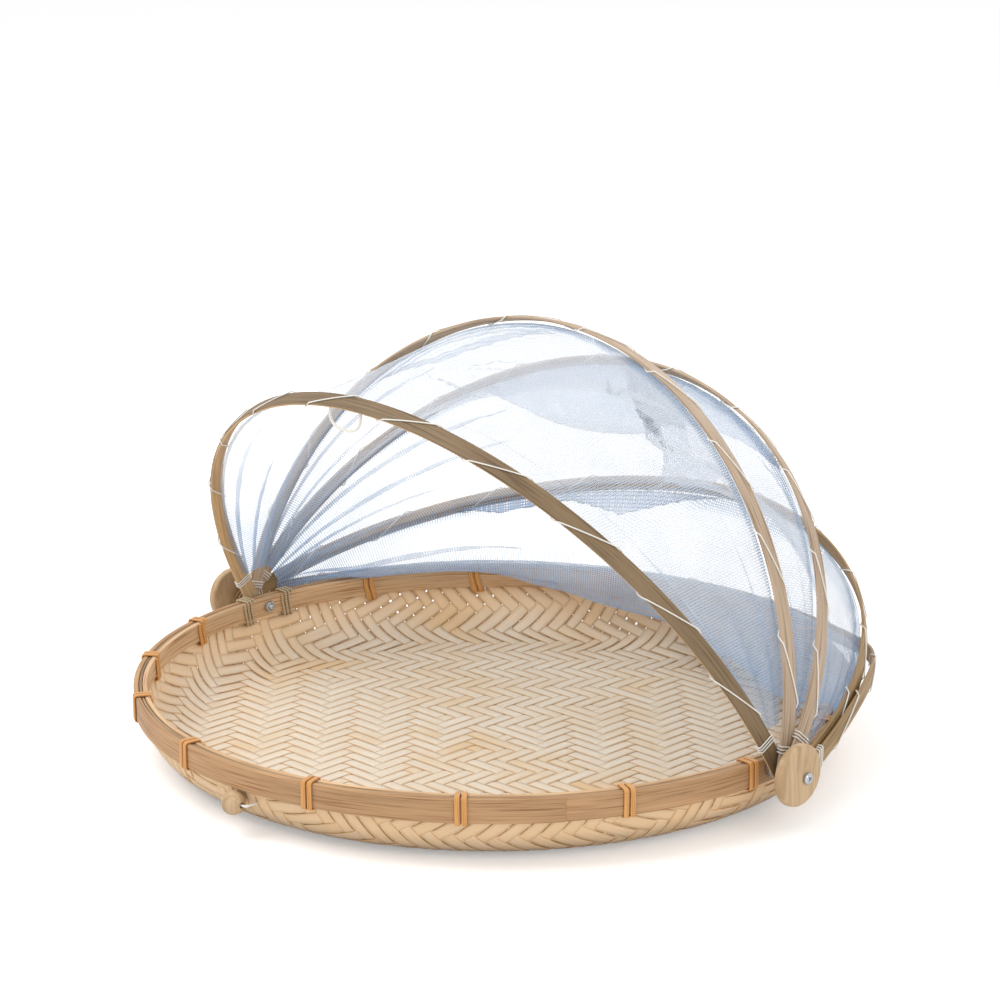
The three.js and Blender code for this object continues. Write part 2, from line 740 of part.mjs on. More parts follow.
function addHoops() {
  const lacingGaps = [];
  const whippingGaps = [];
  ARCHES.forEach((arch, i) => {
    const holder = new THREE.Group();
    holder.position.z = PIVOT_HEIGHT;
    holder.rotation.x = hoopTurn(HOOP_ANGLES[i]);
    part.add(holder);
    const number = i + 1;
    addPiece("hoop_" + number, hoop(i), HOOP_BAMBOO, holder);
    const laced = arch.length - 2 * LACING_START;
    const turnLength = laced / LACING_TURNS;
    const lacing = windingOn(arch, LACING_START, turnLength, LACING_TURNS, LACING_TURN_SHARES);
    addPiece("hoop_" + number + "_lacing", threadTube(lacing), WHITE_THREAD, holder);
    lacingGaps.push(leastSelfGap(lacing.points, THREAD, EVEN_SHARES.length));
    const start = WHIPPING_STARTS[i];
    const whipping = windingOn(arch, start, WHIPPING_PITCH, WHIPPING_TURNS, EVEN_SHARES);
    addPiece("hoop_" + number + "_whipping_right", threadTube(whipping), WHITE_THREAD, holder);
    const far = arch.length - start - WHIPPING_PITCH * WHIPPING_TURNS;
    const other = windingOn(arch, far, WHIPPING_PITCH, WHIPPING_TURNS, EVEN_SHARES);
    addPiece("hoop_" + number + "_whipping_left", threadTube(other), WHITE_THREAD, holder);
    whippingGaps.push(leastSelfGap(whipping.points, THREAD, EVEN_SHARES.length));
  });
  console.log("least gap between turns, lacings:", Math.min(...lacingGaps).toFixed(2), "mm");
  console.log("least gap between turns, whippings:", Math.min(...whippingGaps).toFixed(2), "mm");
}

// Net

// Where the net hangs under a hoop: a share of the arch's laced length, shifted across the hoop.
function netEdge(i, share, across, tuck) {
  const arch = ARCHES[i];
  const inset = HOOP_THICKNESS / 2 + CLEARANCE + THREAD + CLEARANCE + NET_THICKNESS / 2 + tuck;
  const { at, out } = arch.along(NET_START + (arch.length - 2 * NET_START) * share);
  const height = across + arch.lean(at);
  const local = new THREE.Vector3(at.x - out.x * inset, at.y - out.y * inset, height);
  local.applyAxisAngle(new THREE.Vector3(1, 0, 0), hoopTurn(HOOP_ANGLES[i]));
  return local.add(new THREE.Vector3(0, 0, PIVOT_HEIGHT));
}

// A gore from hoop i to hoop i + 1, hanging in by its sag and folds.
function netGore(i) {
  const centre = new THREE.Vector3(0, 0, PIVOT_HEIGHT);
  const rows = [];
  for (let k = 0; k <= NET_STEPS; k += 1) {
    const share = k / NET_STEPS;
    const swell = Math.sin(Math.PI * share) ** 1.5;
    const front = netEdge(i, share, -NET_SEAM, 0);
    const rear = netEdge(i + 1, share, NET_SEAM, HOOP_PITCH * (1 - swell));
    const row = [];
    for (let m = 0; m <= NET_CROSS_STEPS; m += 1) {
      const cross = m / NET_CROSS_STEPS;
      const point = front.clone().lerp(rear, cross);
      const sag = NET_SAGS[i] * Math.sin(Math.PI * cross);
      const ripple = Math.sin(2 * Math.PI * NET_FOLD_COUNTS[i] * cross + 3 * Math.PI * share);
      const fold = NET_FOLDS[i] * ripple * Math.sin(Math.PI * cross);
      const inward = centre.clone().sub(point).normalize();
      row.push(point.addScaledVector(inward, (sag + fold) * swell));
    }
    rows.push(row);
  }
  return shellOf(rows, NET_THICKNESS);
}

// A closed shell of even thickness round a grid of points.
function shellOf(rows, thickness) {
  const last = rows.length - 1;
  const edge = rows[0].length - 1;
  const faces = [-thickness / 2, thickness / 2].map((offset) =>
    rows.flatMap((row, k) =>
      row.map((point, m) => {
        const along = rows[Math.min(k + 1, last)][m].clone().sub(rows[Math.max(k - 1, 0)][m]);
        const across = row[Math.min(m + 1, edge)].clone().sub(row[Math.max(m - 1, 0)]);
        return point.clone().addScaledVector(along.cross(across).normalize(), offset);
      }),
    ),
  );
  const count = faces[0].length;
  const positions = faces.flat().flatMap((point) => [point.x, point.y, point.z]);
  const at = (k, m) => k * (edge + 1) + m;
  const index = [];
  const quad = (a, b, c, d) => index.push(a, b, c, a, c, d);
  for (let k = 0; k < last; k += 1) {
    for (let m = 0; m < edge; m += 1) {
      quad(count + at(k, m), count + at(k + 1, m), count + at(k + 1, m + 1), count + at(k, m + 1));
      quad(at(k, m), at(k, m + 1), at(k + 1, m + 1), at(k + 1, m));
    }
    quad(at(k, 0), at(k + 1, 0), count + at(k + 1, 0), count + at(k, 0));
    quad(at(k + 1, edge), at(k, edge), count + at(k, edge), count + at(k + 1, edge));
  }
  for (let m = 0; m < edge; m += 1) {
    quad(at(0, m + 1), at(0, m), count + at(0, m), count + at(0, m + 1));
    quad(at(last, m), at(last, m + 1), count + at(last, m + 1), count + at(last, m));
  }
  const geometry = new THREE.BufferGeometry();
  geometry.setAttribute("position", new THREE.Float32BufferAttribute(positions, 3));
  geometry.setIndex(index);
  return geometry;
}

function addNet() {
  for (let i = 0; i + 1 < ARCHES.length; i += 1) {
    addPiece("net_gore_" + (i + 1), netGore(i), NET);
  }
}

// Bead under the front of the rim, and the elastic loop that hooks over it

const BEAD_HEIGHT = OUTER_BAND_BOTTOM - BEAD_DROP;
const BEAD_WALL = flareAt(BEAD_HEIGHT);
const BEAD_PLACE = BEAD_WALL.radius + (BEAD_RADIUS + CLEARANCE) * BEAD_WALL.slant;
const BEAD_WALL_INNER = BEAD_WALL.radius - WEAVE_WALL * BEAD_WALL.slant;

function beadHoles() {
  const size = BEAD_CORD + 2 * CLEARANCE;
  const from = BEAD_WALL_INNER - CUT_OVERRUN;
  const to = BEAD_WALL.radius + CUT_OVERRUN;
  return [-1, 1].map((side) => {
    const hole = new THREE.BoxGeometry(to - from, size, size);
    hole.translate((from + to) / 2, (side * BEAD_CORD_SPAN) / 2, BEAD_HEIGHT);
    return hole.rotateZ(BEAD_ANGLE * TO_RADIANS);
  });
}

function bead() {
  const ball = new THREE.SphereGeometry(BEAD_RADIUS, 16, 10);
  const bore = new THREE.CylinderGeometry(
    BEAD_BORE_RADIUS,
    BEAD_BORE_RADIUS,
    2 * (BEAD_RADIUS + CUT_OVERRUN),
    12,
  );
  const bored = cut(ball, [bore]);
  return bored.translate(BEAD_PLACE, 0, BEAD_HEIGHT).rotateZ(BEAD_ANGLE * TO_RADIANS);
}

// A cord through the bead and back through the weave, closed in a flat loop.
function beadCord() {
  const half = BEAD_CORD_SPAN / 2;
  const round = BEAD_CORD;
  const facet = BEAD_WALL_INNER * Math.cos(Math.PI / RIM_STEPS);
  const seat = Math.sqrt(facet ** 2 - half ** 2) - (CLEARANCE + BEAD_CORD / 2) * BEAD_WALL.slant;
  const corners = [
    [BEAD_PLACE, 0],
    [BEAD_PLACE, half - round],
    [BEAD_PLACE - round, half],
    [seat + round, half],
    [seat, half - round],
    [seat, -half + round],
    [seat + round, -half],
    [BEAD_PLACE - round, -half],
    [BEAD_PLACE, -half + round],
  ];
  const points = corners.map(([radius, along]) => new THREE.Vector3(radius, along, BEAD_HEIGHT));
  const hints = points.map(() => new THREE.Vector3(0, 0, 1));
  const loop = swept(stationsAlong(points, hints, true), roundSection(BEAD_CORD / 2, 6), true);
  return loop.rotateZ(BEAD_ANGLE * TO_RADIANS);
}

// An elastic cord whose two ends are sewn under the front hoop's crest.
function pullLoop() {
  const route = new THREE.CatmullRomCurve3(PULL_ROUTE.map((point) => new THREE.Vector3(...point)));
  const round = new THREE.Shape().absarc(0, 0, PULL_CORD / 2, 0, 2 * Math.PI);
  return new THREE.ExtrudeGeometry(round, {
    steps: 16,
    curveSegments: 4,
    bevelEnabled: false,
    extrudePath: route,
  });
}

function addClosure() {
  addPiece("closure_bead", bead(), BEECH);
  addPiece("bead_cord", beadCord(), WHITE_THREAD);
  addPiece("pull_loop", pullLoop(), ELASTIC);
}

addTray();
addPivots();
addHoops();
addNet();
addClosure();

export default part;
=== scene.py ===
"""A round woven bamboo tray with a folding net canopy on five hoops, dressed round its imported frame."""

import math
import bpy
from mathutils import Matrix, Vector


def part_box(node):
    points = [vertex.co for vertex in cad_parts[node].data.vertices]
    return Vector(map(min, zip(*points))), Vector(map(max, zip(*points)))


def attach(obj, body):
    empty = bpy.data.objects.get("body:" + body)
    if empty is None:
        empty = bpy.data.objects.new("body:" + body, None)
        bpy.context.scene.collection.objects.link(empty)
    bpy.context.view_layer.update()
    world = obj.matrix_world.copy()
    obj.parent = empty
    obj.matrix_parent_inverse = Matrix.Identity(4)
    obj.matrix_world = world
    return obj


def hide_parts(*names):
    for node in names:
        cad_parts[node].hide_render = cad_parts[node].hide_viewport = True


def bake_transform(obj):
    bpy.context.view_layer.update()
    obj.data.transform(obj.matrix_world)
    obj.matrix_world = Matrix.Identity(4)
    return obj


bl_info = {
    "name": "Bamboo Tray With Net Canopy",
    "version": (1, 0, 0),
    "blender": (4, 5, 0),
    "location": "3D View > Sidebar > Net Tray",
    "description": "Builds a woven bamboo tray, its folding net canopy and a studio stage",
    "category": "Add Mesh",
}

import bmesh
import bpy
import numpy as np
from bpy.props import FloatProperty, FloatVectorProperty, IntProperty, PointerProperty
from mathutils import Matrix, Vector

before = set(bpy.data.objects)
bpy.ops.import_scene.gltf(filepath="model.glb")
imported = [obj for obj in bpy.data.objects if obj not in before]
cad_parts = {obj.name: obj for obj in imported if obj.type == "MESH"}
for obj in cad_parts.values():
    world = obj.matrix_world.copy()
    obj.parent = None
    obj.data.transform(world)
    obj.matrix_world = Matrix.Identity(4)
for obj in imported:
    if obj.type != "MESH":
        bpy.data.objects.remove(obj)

MM = 0.001
CLEARANCE = 0.3 * MM  # between pieces that touch

# Tray, the same sizes as the frame's
RIM_RADIUS = 185 * MM
TRAY_HEIGHT = 36 * MM
OUTER_BAND_HEIGHT = 12.2 * MM
OUTER_BAND_WALL = 2.6 * MM
OUTER_BAND_EDGE = 0.7 * MM  # how round its edges are
INNER_BAND_HEIGHT = 10.4 * MM
INNER_BAND_WALL = 2.5 * MM
INNER_BAND_EDGE = 0.6 * MM
WEAVE_WALL = 1.4 * MM
WEAVE_TOP = 33 * MM
FILLER_EDGE = 0.5 * MM
FILLER_DROP = 0.4 * MM  # from the rim's top to the filler's
FLOOR_RADIUS = 147 * MM
FLARE_WIDTH_SHARES = (0.72, 0.86)
FLARE_RISE_SHARE = 0.4
FLAT_STEPS, FLARE_STEPS, WALL_STEPS = 20, 40, 6  # of the weave's profile
SPLINT_CROWN = 0.15 * MM  # how much lower a splint's edges lie than its middle
SPLINT_BEND = (143 * MM, 158 * MM)  # along a splint, where the mat bends up into the wall
WALL_TINT_HEIGHTS = (2 * MM, 16 * MM)  # where the wall's tint, partly painted light, starts and is full
OUTER_BAND_INNER = RIM_RADIUS - OUTER_BAND_WALL
WALL_RADIUS = OUTER_BAND_INNER - CLEARANCE
WALL_INNER = WALL_RADIUS - WEAVE_WALL
INNER_BAND_OUTER = WALL_INNER - CLEARANCE
INNER_BAND_INNER = INNER_BAND_OUTER - INNER_BAND_WALL
OUTER_BAND_BOTTOM = TRAY_HEIGHT - OUTER_BAND_HEIGHT
INNER_BAND_BOTTOM = TRAY_HEIGHT - INNER_BAND_HEIGHT
FLARE_TOP = OUTER_BAND_BOTTOM + CLEARANCE
OUTER_SCARF_ANGLE = 316
INNER_SCARF_ANGLE = 52
SCARF_SWEEP = 9
BAND_STEPS = 260
TIE_ANGLES = (
    20, 43, 66, 89, 112, 137.7, 158, 198, 217.4, 238.4, 261.7, 287.5, 310.7, 334.8, 356.7,
)
TIE_TURNS = 2
TIE_PITCH = 3.3 * MM
TIE_THICKNESS = 0.9 * MM
TIE_TILT = 1.5  # how far one may lean, in degrees
LASHING_TURNS = 3
LASHING_PITCH = 2.4 * MM
LASHING_WIDTH = 1.3 * MM
LASHING_THICKNESS = 1.1 * MM
LASHING_TILT = 2
LASHING_SPACE = 14 * MM  # along the rim, from the bolts' line
LASHING_SWEEP = math.degrees(LASHING_SPACE / RIM_RADIUS)
LASHING_ANGLES = {
    "right_rear": LASHING_SWEEP,
    "left_rear": 180 - LASHING_SWEEP,
    "left_front": 180 + LASHING_SWEEP,
}
WRAP_EDGE = 1.1 * MM  # how round a strand goes over the rim's edges
WRAP_POINTS = 48  # of one turn
# As shares of a turn, where a strand shifts to its next turn and how long that takes
WRAP_SHIFT_START, WRAP_SHIFT_LENGTH = 0.62, 0.3

# Pivots
PIVOT_HEIGHT = 31 * MM
SCREW_RADIUS = 1.5 * MM
SCREW_HEAD_RADIUS = 2.8 * MM
SCREW_HEAD_HEIGHT = 2 * MM
SCREW_PITCH = 0.5 * MM
SCREW_GROOVE = 0.3 * MM  # how deep the thread is cut
SCREW_END = 173.6 * MM
SCREW_CHAMFER = 0.3 * MM
SCREW_RUNOUT = 0.4 * MM  # from the thread's end to the smooth shank
RECESS_ANGLE = 36
RECESS_DEPTH = 1.1 * MM
RECESS_FOOT = (0.7 * MM, 0.2 * MM)  # half its length and half its width at the bottom
RECESS_MOUTH = (2.2 * MM, 0.45 * MM)  # the same above the head
NUT_START = 175.2 * MM
NUT_THICKNESS = 2.4 * MM
NUT_ACROSS_FLATS = 5.5 * MM
NUT_CHAMFER = 30
NUT_STEPS = 96
NUT_LAND = 0.05 * MM  # how far the chamfers reach at the middle of a flat
SPACER_START = RIM_RADIUS + CLEARANCE
SPACER_THICKNESS = 2.8 * MM
WASHER_RADIUS = 4.5 * MM
WASHER_EDGE = 0.25 * MM
BORE_RADIUS = SCREW_RADIUS + CLEARANCE
DISC_START = 202 * MM
DISC_THICKNESS = 4.6 * MM
DISC_RADIUS = 15.2 * MM
DISC_EDGE = 1.4 * MM
DISC_OFFSET = 3.8 * MM
DISC_LIFT = 2 * MM
SCREW_HEAD_START = DISC_START + DISC_THICKNESS + CLEARANCE
# From the tray's middle, where the cutting tools for the bolts' holes start and end
HOOP_HOLE = (150 * MM, 215 * MM)
WASHER_HOLE = (170 * MM, 210 * MM)
DISC_HOLE = (195 * MM, 210 * MM)

# Hoops, from the front one to the rear one
HOOP_ANGLES = (59.8, 104.2, 128, 161, 180)
HOOP_RISES = (187, 187, 187.5, 196, 196)
HOOP_POWERS = (1.97, 1.95, 1.93, 1.88, 1.86)
HOOP_BENDS = (0, 0, 0, 0, 24)  # how far a right leg bends out of its hoop's plane
BEND_START = 8 * MM  # from the bolt, along the leg
HOOP_WIDTH = 9 * MM
HOOP_THICKNESS = 1.7 * MM
HOOP_EDGE = 0.55 * MM
HOOP_STEPS, ARCH_STEPS = 181, 1201  # of the strip and of the curve that it follows
HOOP_PITCH = 2.9 * MM
FIRST_REACH = 189.25 * MM
THREAD = 0.5 * MM  # as in the frame, and drawn as thick as the setting Thread Size
THREAD_STEP = 0.6 * MM
THREAD_PLY = 0.7 * MM
TURN_POINTS = 32  # of each turn round a hoop
LACING_START = 30 * MM
LACING_TURNS = 10
WHIPPING_TURNS = 3
WHIPPING_PITCH = 1.5 * MM
WHIPPING_STARTS = (15.5, 8, 15.5, 8, 15.5)

# Net
NET_START = 22 * MM
NET_INSET = HOOP_THICKNESS / 2 + CLEARANCE + THREAD + CLEARANCE + CLEARANCE
NET_ASIDE = 0.6 * MM  # from the middle of a hoop to the edge of each panel
NET_SAGS = (3, 22, 20, 9)
NET_FOLDS = (0, 5, 5, 2)
NET_FOLD_COUNTS = (1, 2, 2, 1)
GORE_ROWS, GORE_COLUMNS = 181, 73  # of the smooth surface
NET_ROWS, NET_COLUMNS = 241, 201  # of the pleated mesh
# Creases of each panel: whether one runs along the hoops, its key places, where it lies across the
# panel there, and how wide its fold is as a share of the panel
NET_CREASES = (
    (
        (True, (0.02, 0.1, 0.5, 0.9, 0.98), (0.02, 0.025, 0.025, 0.025, 0.02), 0.02),
        (True, (0.28, 0.33, 0.38, 0.43), (0.16, 0.165, 0.155, 0.13), 0.016),
        (True, (0.5, 0.58, 0.68, 0.76), (0.95, 0.84, 0.74, 0.7), 0.014),
        (True, (0.46, 0.55, 0.62), (0.9, 0.93, 0.86), 0.012),
        (False, (0.3, 0.5, 0.7, 0.95), (0.66, 0.65, 0.62, 0.58), 0.008),
        (False, (0.1, 0.3, 0.5), (0.61, 0.615, 0.63), 0.007),
    ),
    (
        (True, (0.5, 0.533, 0.61, 0.67, 0.72, 0.76), (0.05, 0.06, 0.09, 0.1, 0.05, 0.02), 0.04),
        (True, (0.42, 0.52, 0.6, 0.7), (0.6, 0.5, 0.3, 0.14), 0.009),
        (True, (0.6, 0.62, 0.64, 0.67, 0.7), (0.72, 0.66, 0.46, 0.34, 0.14), 0.008),
        (True, (0.52, 0.6, 0.68), (0.24, 0.2, 0.22), 0.009),
        (True, (0.3, 0.38, 0.46), (0.55, 0.62, 0.8), 0.02),
        (False, (0.1, 0.35, 0.7, 0.95), (0.44, 0.445, 0.455, 0.5), 0.012),
        (False, (0.02, 0.4, 0.8), (0.7, 0.685, 0.64), 0.008),
    ),
    (
        (False, (0.02, 0.16, 0.3, 0.5), (0.535, 0.51, 0.49, 0.47), 0.014),
        (False, (0.1, 0.2, 0.42, 0.55), (0.5, 0.49, 0.485, 0.47), 0.01),
        (True, (0.53, 0.58, 0.62, 0.64), (0.06, 0.14, 0.24, 0.27), 0.008),
        (True, (0.6, 0.62, 0.66, 0.7), (0.19, 0.16, 0.07, 0.02), 0.008),
        (True, (0.3, 0.38, 0.46), (0.45, 0.36, 0.34), 0.02),
        (True, (0.36, 0.4, 0.47), (0.8, 0.72, 0.7), 0.016),
        (False, (0.4, 0.6, 0.9), (0.4, 0.39, 0.4), 0.007),
    ),
    (
        (True, (0.15, 0.3, 0.5, 0.62, 0.7), (0.43, 0.42, 0.415, 0.43, 0.44), 0.03),
        (True, (0.2, 0.36, 0.5, 0.6), (0.56, 0.58, 0.57, 0.56), 0.02),
        (False, (0.1, 0.3, 0.6), (0.36, 0.345, 0.33), 0.01),
    ),
)
# Where the net hangs double below a hoop, or lies double across a panel: key places, and the low and
# the high fold there
NET_SWAGS = (
    (),
    (),
    (
        (
            True,
            (0.28, 0.34, 0.42, 0.513, 0.543, 0.58, 0.613, 0.64, 0.663, 0.7),
            (0.01, 0.01, 0.01, 0.01, 0.01, 0.01, 0.01, 0.01, 0.01, 0.01),
            (0.01, 0.1, 0.2, 0.22, 0.3, 0.36, 0.3, 0.22, 0.14, 0.01),
        ),
        (
            False,
            (0, 0.16, 0.34, 0.57, 0.94),
            (0.5, 0.45, 0.44, 0.43, 0.5),
            (0.53, 0.515, 0.507, 0.513, 0.55),
        ),
    ),
    (
        (
            True,
            (0.5, 0.553, 0.62, 0.68, 0.753, 0.8),
            (0.01, 0.01, 0.01, 0.01, 0.01, 0.01),
            (0.01, 0.035, 0.075, 0.035, 0.055, 0.01),
        ),
    ),
)
SWAG_ROOM, CREASE_ROOM = 2 * MM, 0.5 * MM  # how far the layers of a fold lie apart
GATHERS = (3, 4, 4, 3)  # creases that fan out from each end of a panel
# As shares of the panel: how far they reach, how much that differs, and half their width
GATHER_REACH, GATHER_SPREAD, GATHER_HALF = 0.27, 0.1, 0.035
# The fine waves of the net where it is drawn up under the hoops
DRAWN_DEPTH, DRAWN_WAVES = 0.9 * MM, 35
# As shares of the panel, from where the net is bunched, with more cover and painted shade, and from where it
# is so in full
HEM_SHARES = (0.05, 0.025)
SLACK_SHARES = (0.15, 0.4)
END_SHARES = (0.62, 1)  # of half a panel, from its crest to its end
SLACK_BUNCH = 0.75  # how much the slack net is bunched: more cover and painted shade
# Where the last panel lies over the rim: radius, height and its share of the hoop's own rise
OVER_RIM = ((187.5, 37.5, 0.6), (181.5, 39.8, 0.45), (174, 36.5, 0.3))
SLACK_STARTS = ((10, 32), (174, 158))  # bearings between which the slack begins at either side
RIPPLE_OUT, RIPPLE_UP, RIPPLE_HANGING = 1.2 * MM, 0.8 * MM, 2 * MM
SLACK_DIPS = (3 * MM, 2 * MM)  # below the straight line from the fold up to the hoop in front
# The lowest line of the last panel inside the tray, by its bearing in degrees from +X
FOLD_BEARINGS = (20, 30, 50, 60, 71, 82, 99, 108, 114, 122, 133, 143, 159)
FOLD_RADII = (168, 152, 147, 147, 149, 145, 160, 163, 162, 168, 172, 171, 173)
FOLD_HEIGHTS = (34, 26, 18, 16, 14, 16, 20.5, 21, 24, 30, 34, 38, 38.5)

# Closure
BEAD_TOOL_REACH = 10 * MM
BEAD_CORD_EDGE = 1.6 * MM
BEAD_RADIUS = 5.9 * MM
BEAD_BORE_RADIUS = 1.5 * MM
BEAD_ANGLE = 273.5
BEAD_CORD = 1.2 * MM
PULL_CORD = 1.5 * MM
PULL_ROUTE = (
    (-0.0170, -0.0946, 0.1894),
    (-0.0176, -0.0946, 0.1862),
    (-0.0166, -0.0946, 0.1824),
    (-0.0136, -0.0946, 0.1800),
    (-0.0095, -0.0946, 0.1790),
    (-0.0045, -0.0946, 0.1789),
    (-0.0003, -0.0946, 0.1799),
    (0.0029, -0.0946, 0.1822),
    (0.0044, -0.0946, 0.1864),
    (0.0040, -0.0946, 0.1900),
)

# Floor
FLOOR_REACH = 12  # in metres, to each side
FLOOR_DROP = 0.2 * MM
FLOOR_GLOW = 0.3

# Camera, fitted to the rim, hoops and pivots in the photograph
CAMERA_AZIMUTH = 44.667
CAMERA_ELEVATION = 15.355
CAMERA_ROLL = -0.082
CAMERA_DISTANCE = 1.4982
CAMERA_LENS = 103.614
CAMERA_CENTRE = (0.003195, 0.12211)
SENSOR_WIDTH = 36


def linear(code):
    """Turns an sRGB hex colour to linear, with full opacity."""
    shares = [int(code[i : i + 2], 16) / 255 for i in (1, 3, 5)]
    turned = [c / 12.92 if c <= 0.04045 else ((c + 0.055) / 1.055) ** 2.4 for c in shares]
    return (*turned, 1)


# Meshes


def grid_piece(name, grid, along, around, ring=True, loop=False, caps=False):
    """Makes a mesh from rows of points. ring closes each row and loop closes the rows."""
    rows, columns = grid.shape[:2]
    faces, marks = [], []
    for k in range(rows if loop else rows - 1):
        for m in range(columns if ring else columns - 1):
            below, after = (k + 1) % rows, (m + 1) % columns
            corners = ((k, m), (k, after), (below, after), (below, m))
            faces.append([row * columns + column for row, column in corners])
            marks += [
                (around[m], along[k]),
                (around[m + 1], along[k]),
                (around[m + 1], along[k + 1]),
                (around[m], along[k + 1]),
            ]
    if caps:
        for row, step in ((0, -1), (rows - 1, 1)):
            faces.append([row * columns + m for m in range(columns)][::step])
            marks += [(around[m], along[row]) for m in range(columns)][::step]
    mesh = bpy.data.meshes.new(name)
    mesh.from_pydata(grid.reshape(-1, 3).tolist(), [], faces)
    layer = mesh.uv_layers.new(name="UVMap")
    layer.uv.foreach_set("vector", np.array(marks, np.float32).ravel())
    piece = bpy.data.objects.new(name, mesh)
    bpy.context.scene.collection.objects.link(piece)
    return piece


def close_and_smooth(piece, angle=38):
    """Turns a closed mesh's faces outwards and shades it smooth up to an angle in degrees."""
    work = bmesh.new()
    work.from_mesh(piece.data)
    bmesh.ops.remove_doubles(work, verts=work.verts, dist=1e-7)
    bmesh.ops.recalc_face_normals(work, faces=work.faces)
    work.to_mesh(piece.data)
    work.free()
    piece.data.shade_smooth()
    piece.data.set_sharp_from_angle(angle=math.radians(angle))
    return piece


def settle(piece):
    """Replaces a piece's mesh by the one that its modifiers make, and removes them."""
    depsgraph = bpy.context.evaluated_depsgraph_get()
    mesh = bpy.data.meshes.new_from_object(piece.evaluated_get(depsgraph))
    piece.modifiers.clear()
    piece.data = mesh
    mesh.name = piece.name
    return piece


def cut_away(piece, *cutters):
    """Cuts other meshes out of a piece and removes them."""
    for cutter in cutters:
        modifier = piece.modifiers.new("Cut", "BOOLEAN")
        modifier.operation = "DIFFERENCE"
        modifier.solver = "EXACT"
        modifier.object = cutter
    settle(piece)
    for cutter in cutters:
        bpy.data.objects.remove(cutter)
    return close_and_smooth(piece)


def lengths_along(points):
    """The length from the first point to each point of a line."""
    steps = np.linalg.norm(np.diff(points, axis=0), axis=1)
    return np.concatenate([[0], np.cumsum(steps)])


def rounded_section(width, height, radius, steps=3):
    """Points round a rectangle with rounded corners, about its middle."""
    points = []
    for turn, (side, level) in enumerate(((1, 1), (-1, 1), (-1, -1), (1, -1))):
        centre = (side * (width / 2 - radius), level * (height / 2 - radius))
        for step in range(steps + 1):
            angle = math.pi / 2 * (turn + step / steps)
            points.append(
                (centre[0] + radius * math.cos(angle), centre[1] + radius * math.sin(angle))
            )
    return np.array(points)


def round_section(radius, sides):
    """Points round a circle."""
    turns = np.arange(sides) * 2 * math.pi / sides
    return radius * np.stack([np.cos(turns), np.sin(turns)], axis=1)


def swept(name, centres, across, off, section, widths=None, loop=False):
    """A section carried along a line: its x lies across and its y off the line."""
    widths = np.ones(len(centres)) if widths is None else widths
    grid = (
        centres[:, None]
        + across[:, None] * (section[None, :, :1] * widths[:, None, None])
        + off[:, None] * section[None, :, 1:]
    )
    closed = np.concatenate([section, section[:1]])
    line = np.concatenate([centres, centres[:1]]) if loop else centres
    piece = grid_piece(
        name, grid, lengths_along(line), lengths_along(closed), loop=loop, caps=not loop
    )
    return close_and_smooth(piece)


def turned(name, profile, place, axis, steps=64, thread=None):
    """A profile of (distance along the axis, radius) turned round an axis through a place."""
    side = Vector(axis).normalized()
    first = side.orthogonal().normalized()
    second = side.cross(first)
    turns = np.arange(steps) * 2 * math.pi / steps
    radial = np.outer(np.cos(turns), first) + np.outer(np.sin(turns), second)
    rows = []
    for distance, radius in profile:
        radii = np.full(steps, radius)
        if thread and thread[0] <= distance <= thread[1]:
            phase = (distance / SCREW_PITCH - turns / (2 * math.pi)) % 1
            radii = radius - SCREW_GROOVE * np.abs(2 * phase - 1)
        rows.append(np.array(place) + np.array(side) * distance + radial * radii[:, None])
    around = np.linspace(0, 2 * math.pi * max(r for _, r in profile), steps + 1)
    along = lengths_along(np.array(profile))
    piece = grid_piece(name, np.array(rows), along, around, caps=True)
    return close_and_smooth(piece)


def rod(radius, start, end, sides=32):
    """A cutting tool along a line."""
    start, end = Vector(start), Vector(end)
    profile = [(0, radius), ((end - start).length, radius)]
    return turned("tool", profile, start, end - start, sides)


def bolt_hole(start, end):
    """A cutting tool on the bolts' line, from one place across the tray to another."""
    return rod(BORE_RADIUS, (start, 0, PIVOT_HEIGHT), (end, 0, PIVOT_HEIGHT))


def both_bolt_holes():
    """Cutting tools for the holes of both bolts through a band or a hoop."""
    near, far = HOOP_HOLE
    return [bolt_hole(near, far), bolt_hole(-far, -near)]


# Nodes


def set_sockets(tree, node, sockets):
    """Sets a node's inputs to values or links them to other nodes' outputs."""
    for key, value in sockets.items():
        if isinstance(value, bpy.types.NodeSocket):
            tree.links.new(value, node.inputs[key])
        else:
            node.inputs[key].default_value = value


def add_node(tree, kind, sockets=None, **settings):
    """Adds a node with its settings, values and links, and returns its outputs."""
    node = tree.nodes.new(kind)
    for name, value in settings.items():
        setattr(node, name, value)
    set_sockets(tree, node, sockets or {})
    return node.outputs


def new_tree(name, **inputs):
    """Starts a Geometry Nodes tree with named inputs, each given with its kind of socket."""
    tree = bpy.data.node_groups.new(name, "GeometryNodeTree")
    tree.interface.new_socket("Geometry", in_out="INPUT", socket_type="NodeSocketGeometry")
    for label, kind in inputs.items():
        tree.interface.new_socket(label, in_out="INPUT", socket_type=f"NodeSocket{kind}")
    tree.interface.new_socket("Geometry", in_out="OUTPUT", socket_type="NodeSocketGeometry")
    return tree, add_node(tree, "NodeGroupInput")


def end_tree(tree, geometry, material):
    """Ends a tree with the real geometry and its material."""
    real = add_node(tree, "GeometryNodeRealizeInstances", {0: geometry})
    painted = add_node(tree, "GeometryNodeSetMaterial", {"Geometry": real[0], "Material": material})
    add_node(tree, "NodeGroupOutput", {0: painted[0]})


def grow(piece, tree, values):
    """Runs a tree on a piece with the given inputs and keeps the plain mesh it makes."""
    modifier = piece.modifiers.new("Grow", "NODES")
    modifier.node_group = tree
    names = {item.name: item.identifier for item in tree.interface.items_tree}
    for label, value in values.items():
        modifier[names[label]] = value
    return settle(piece)


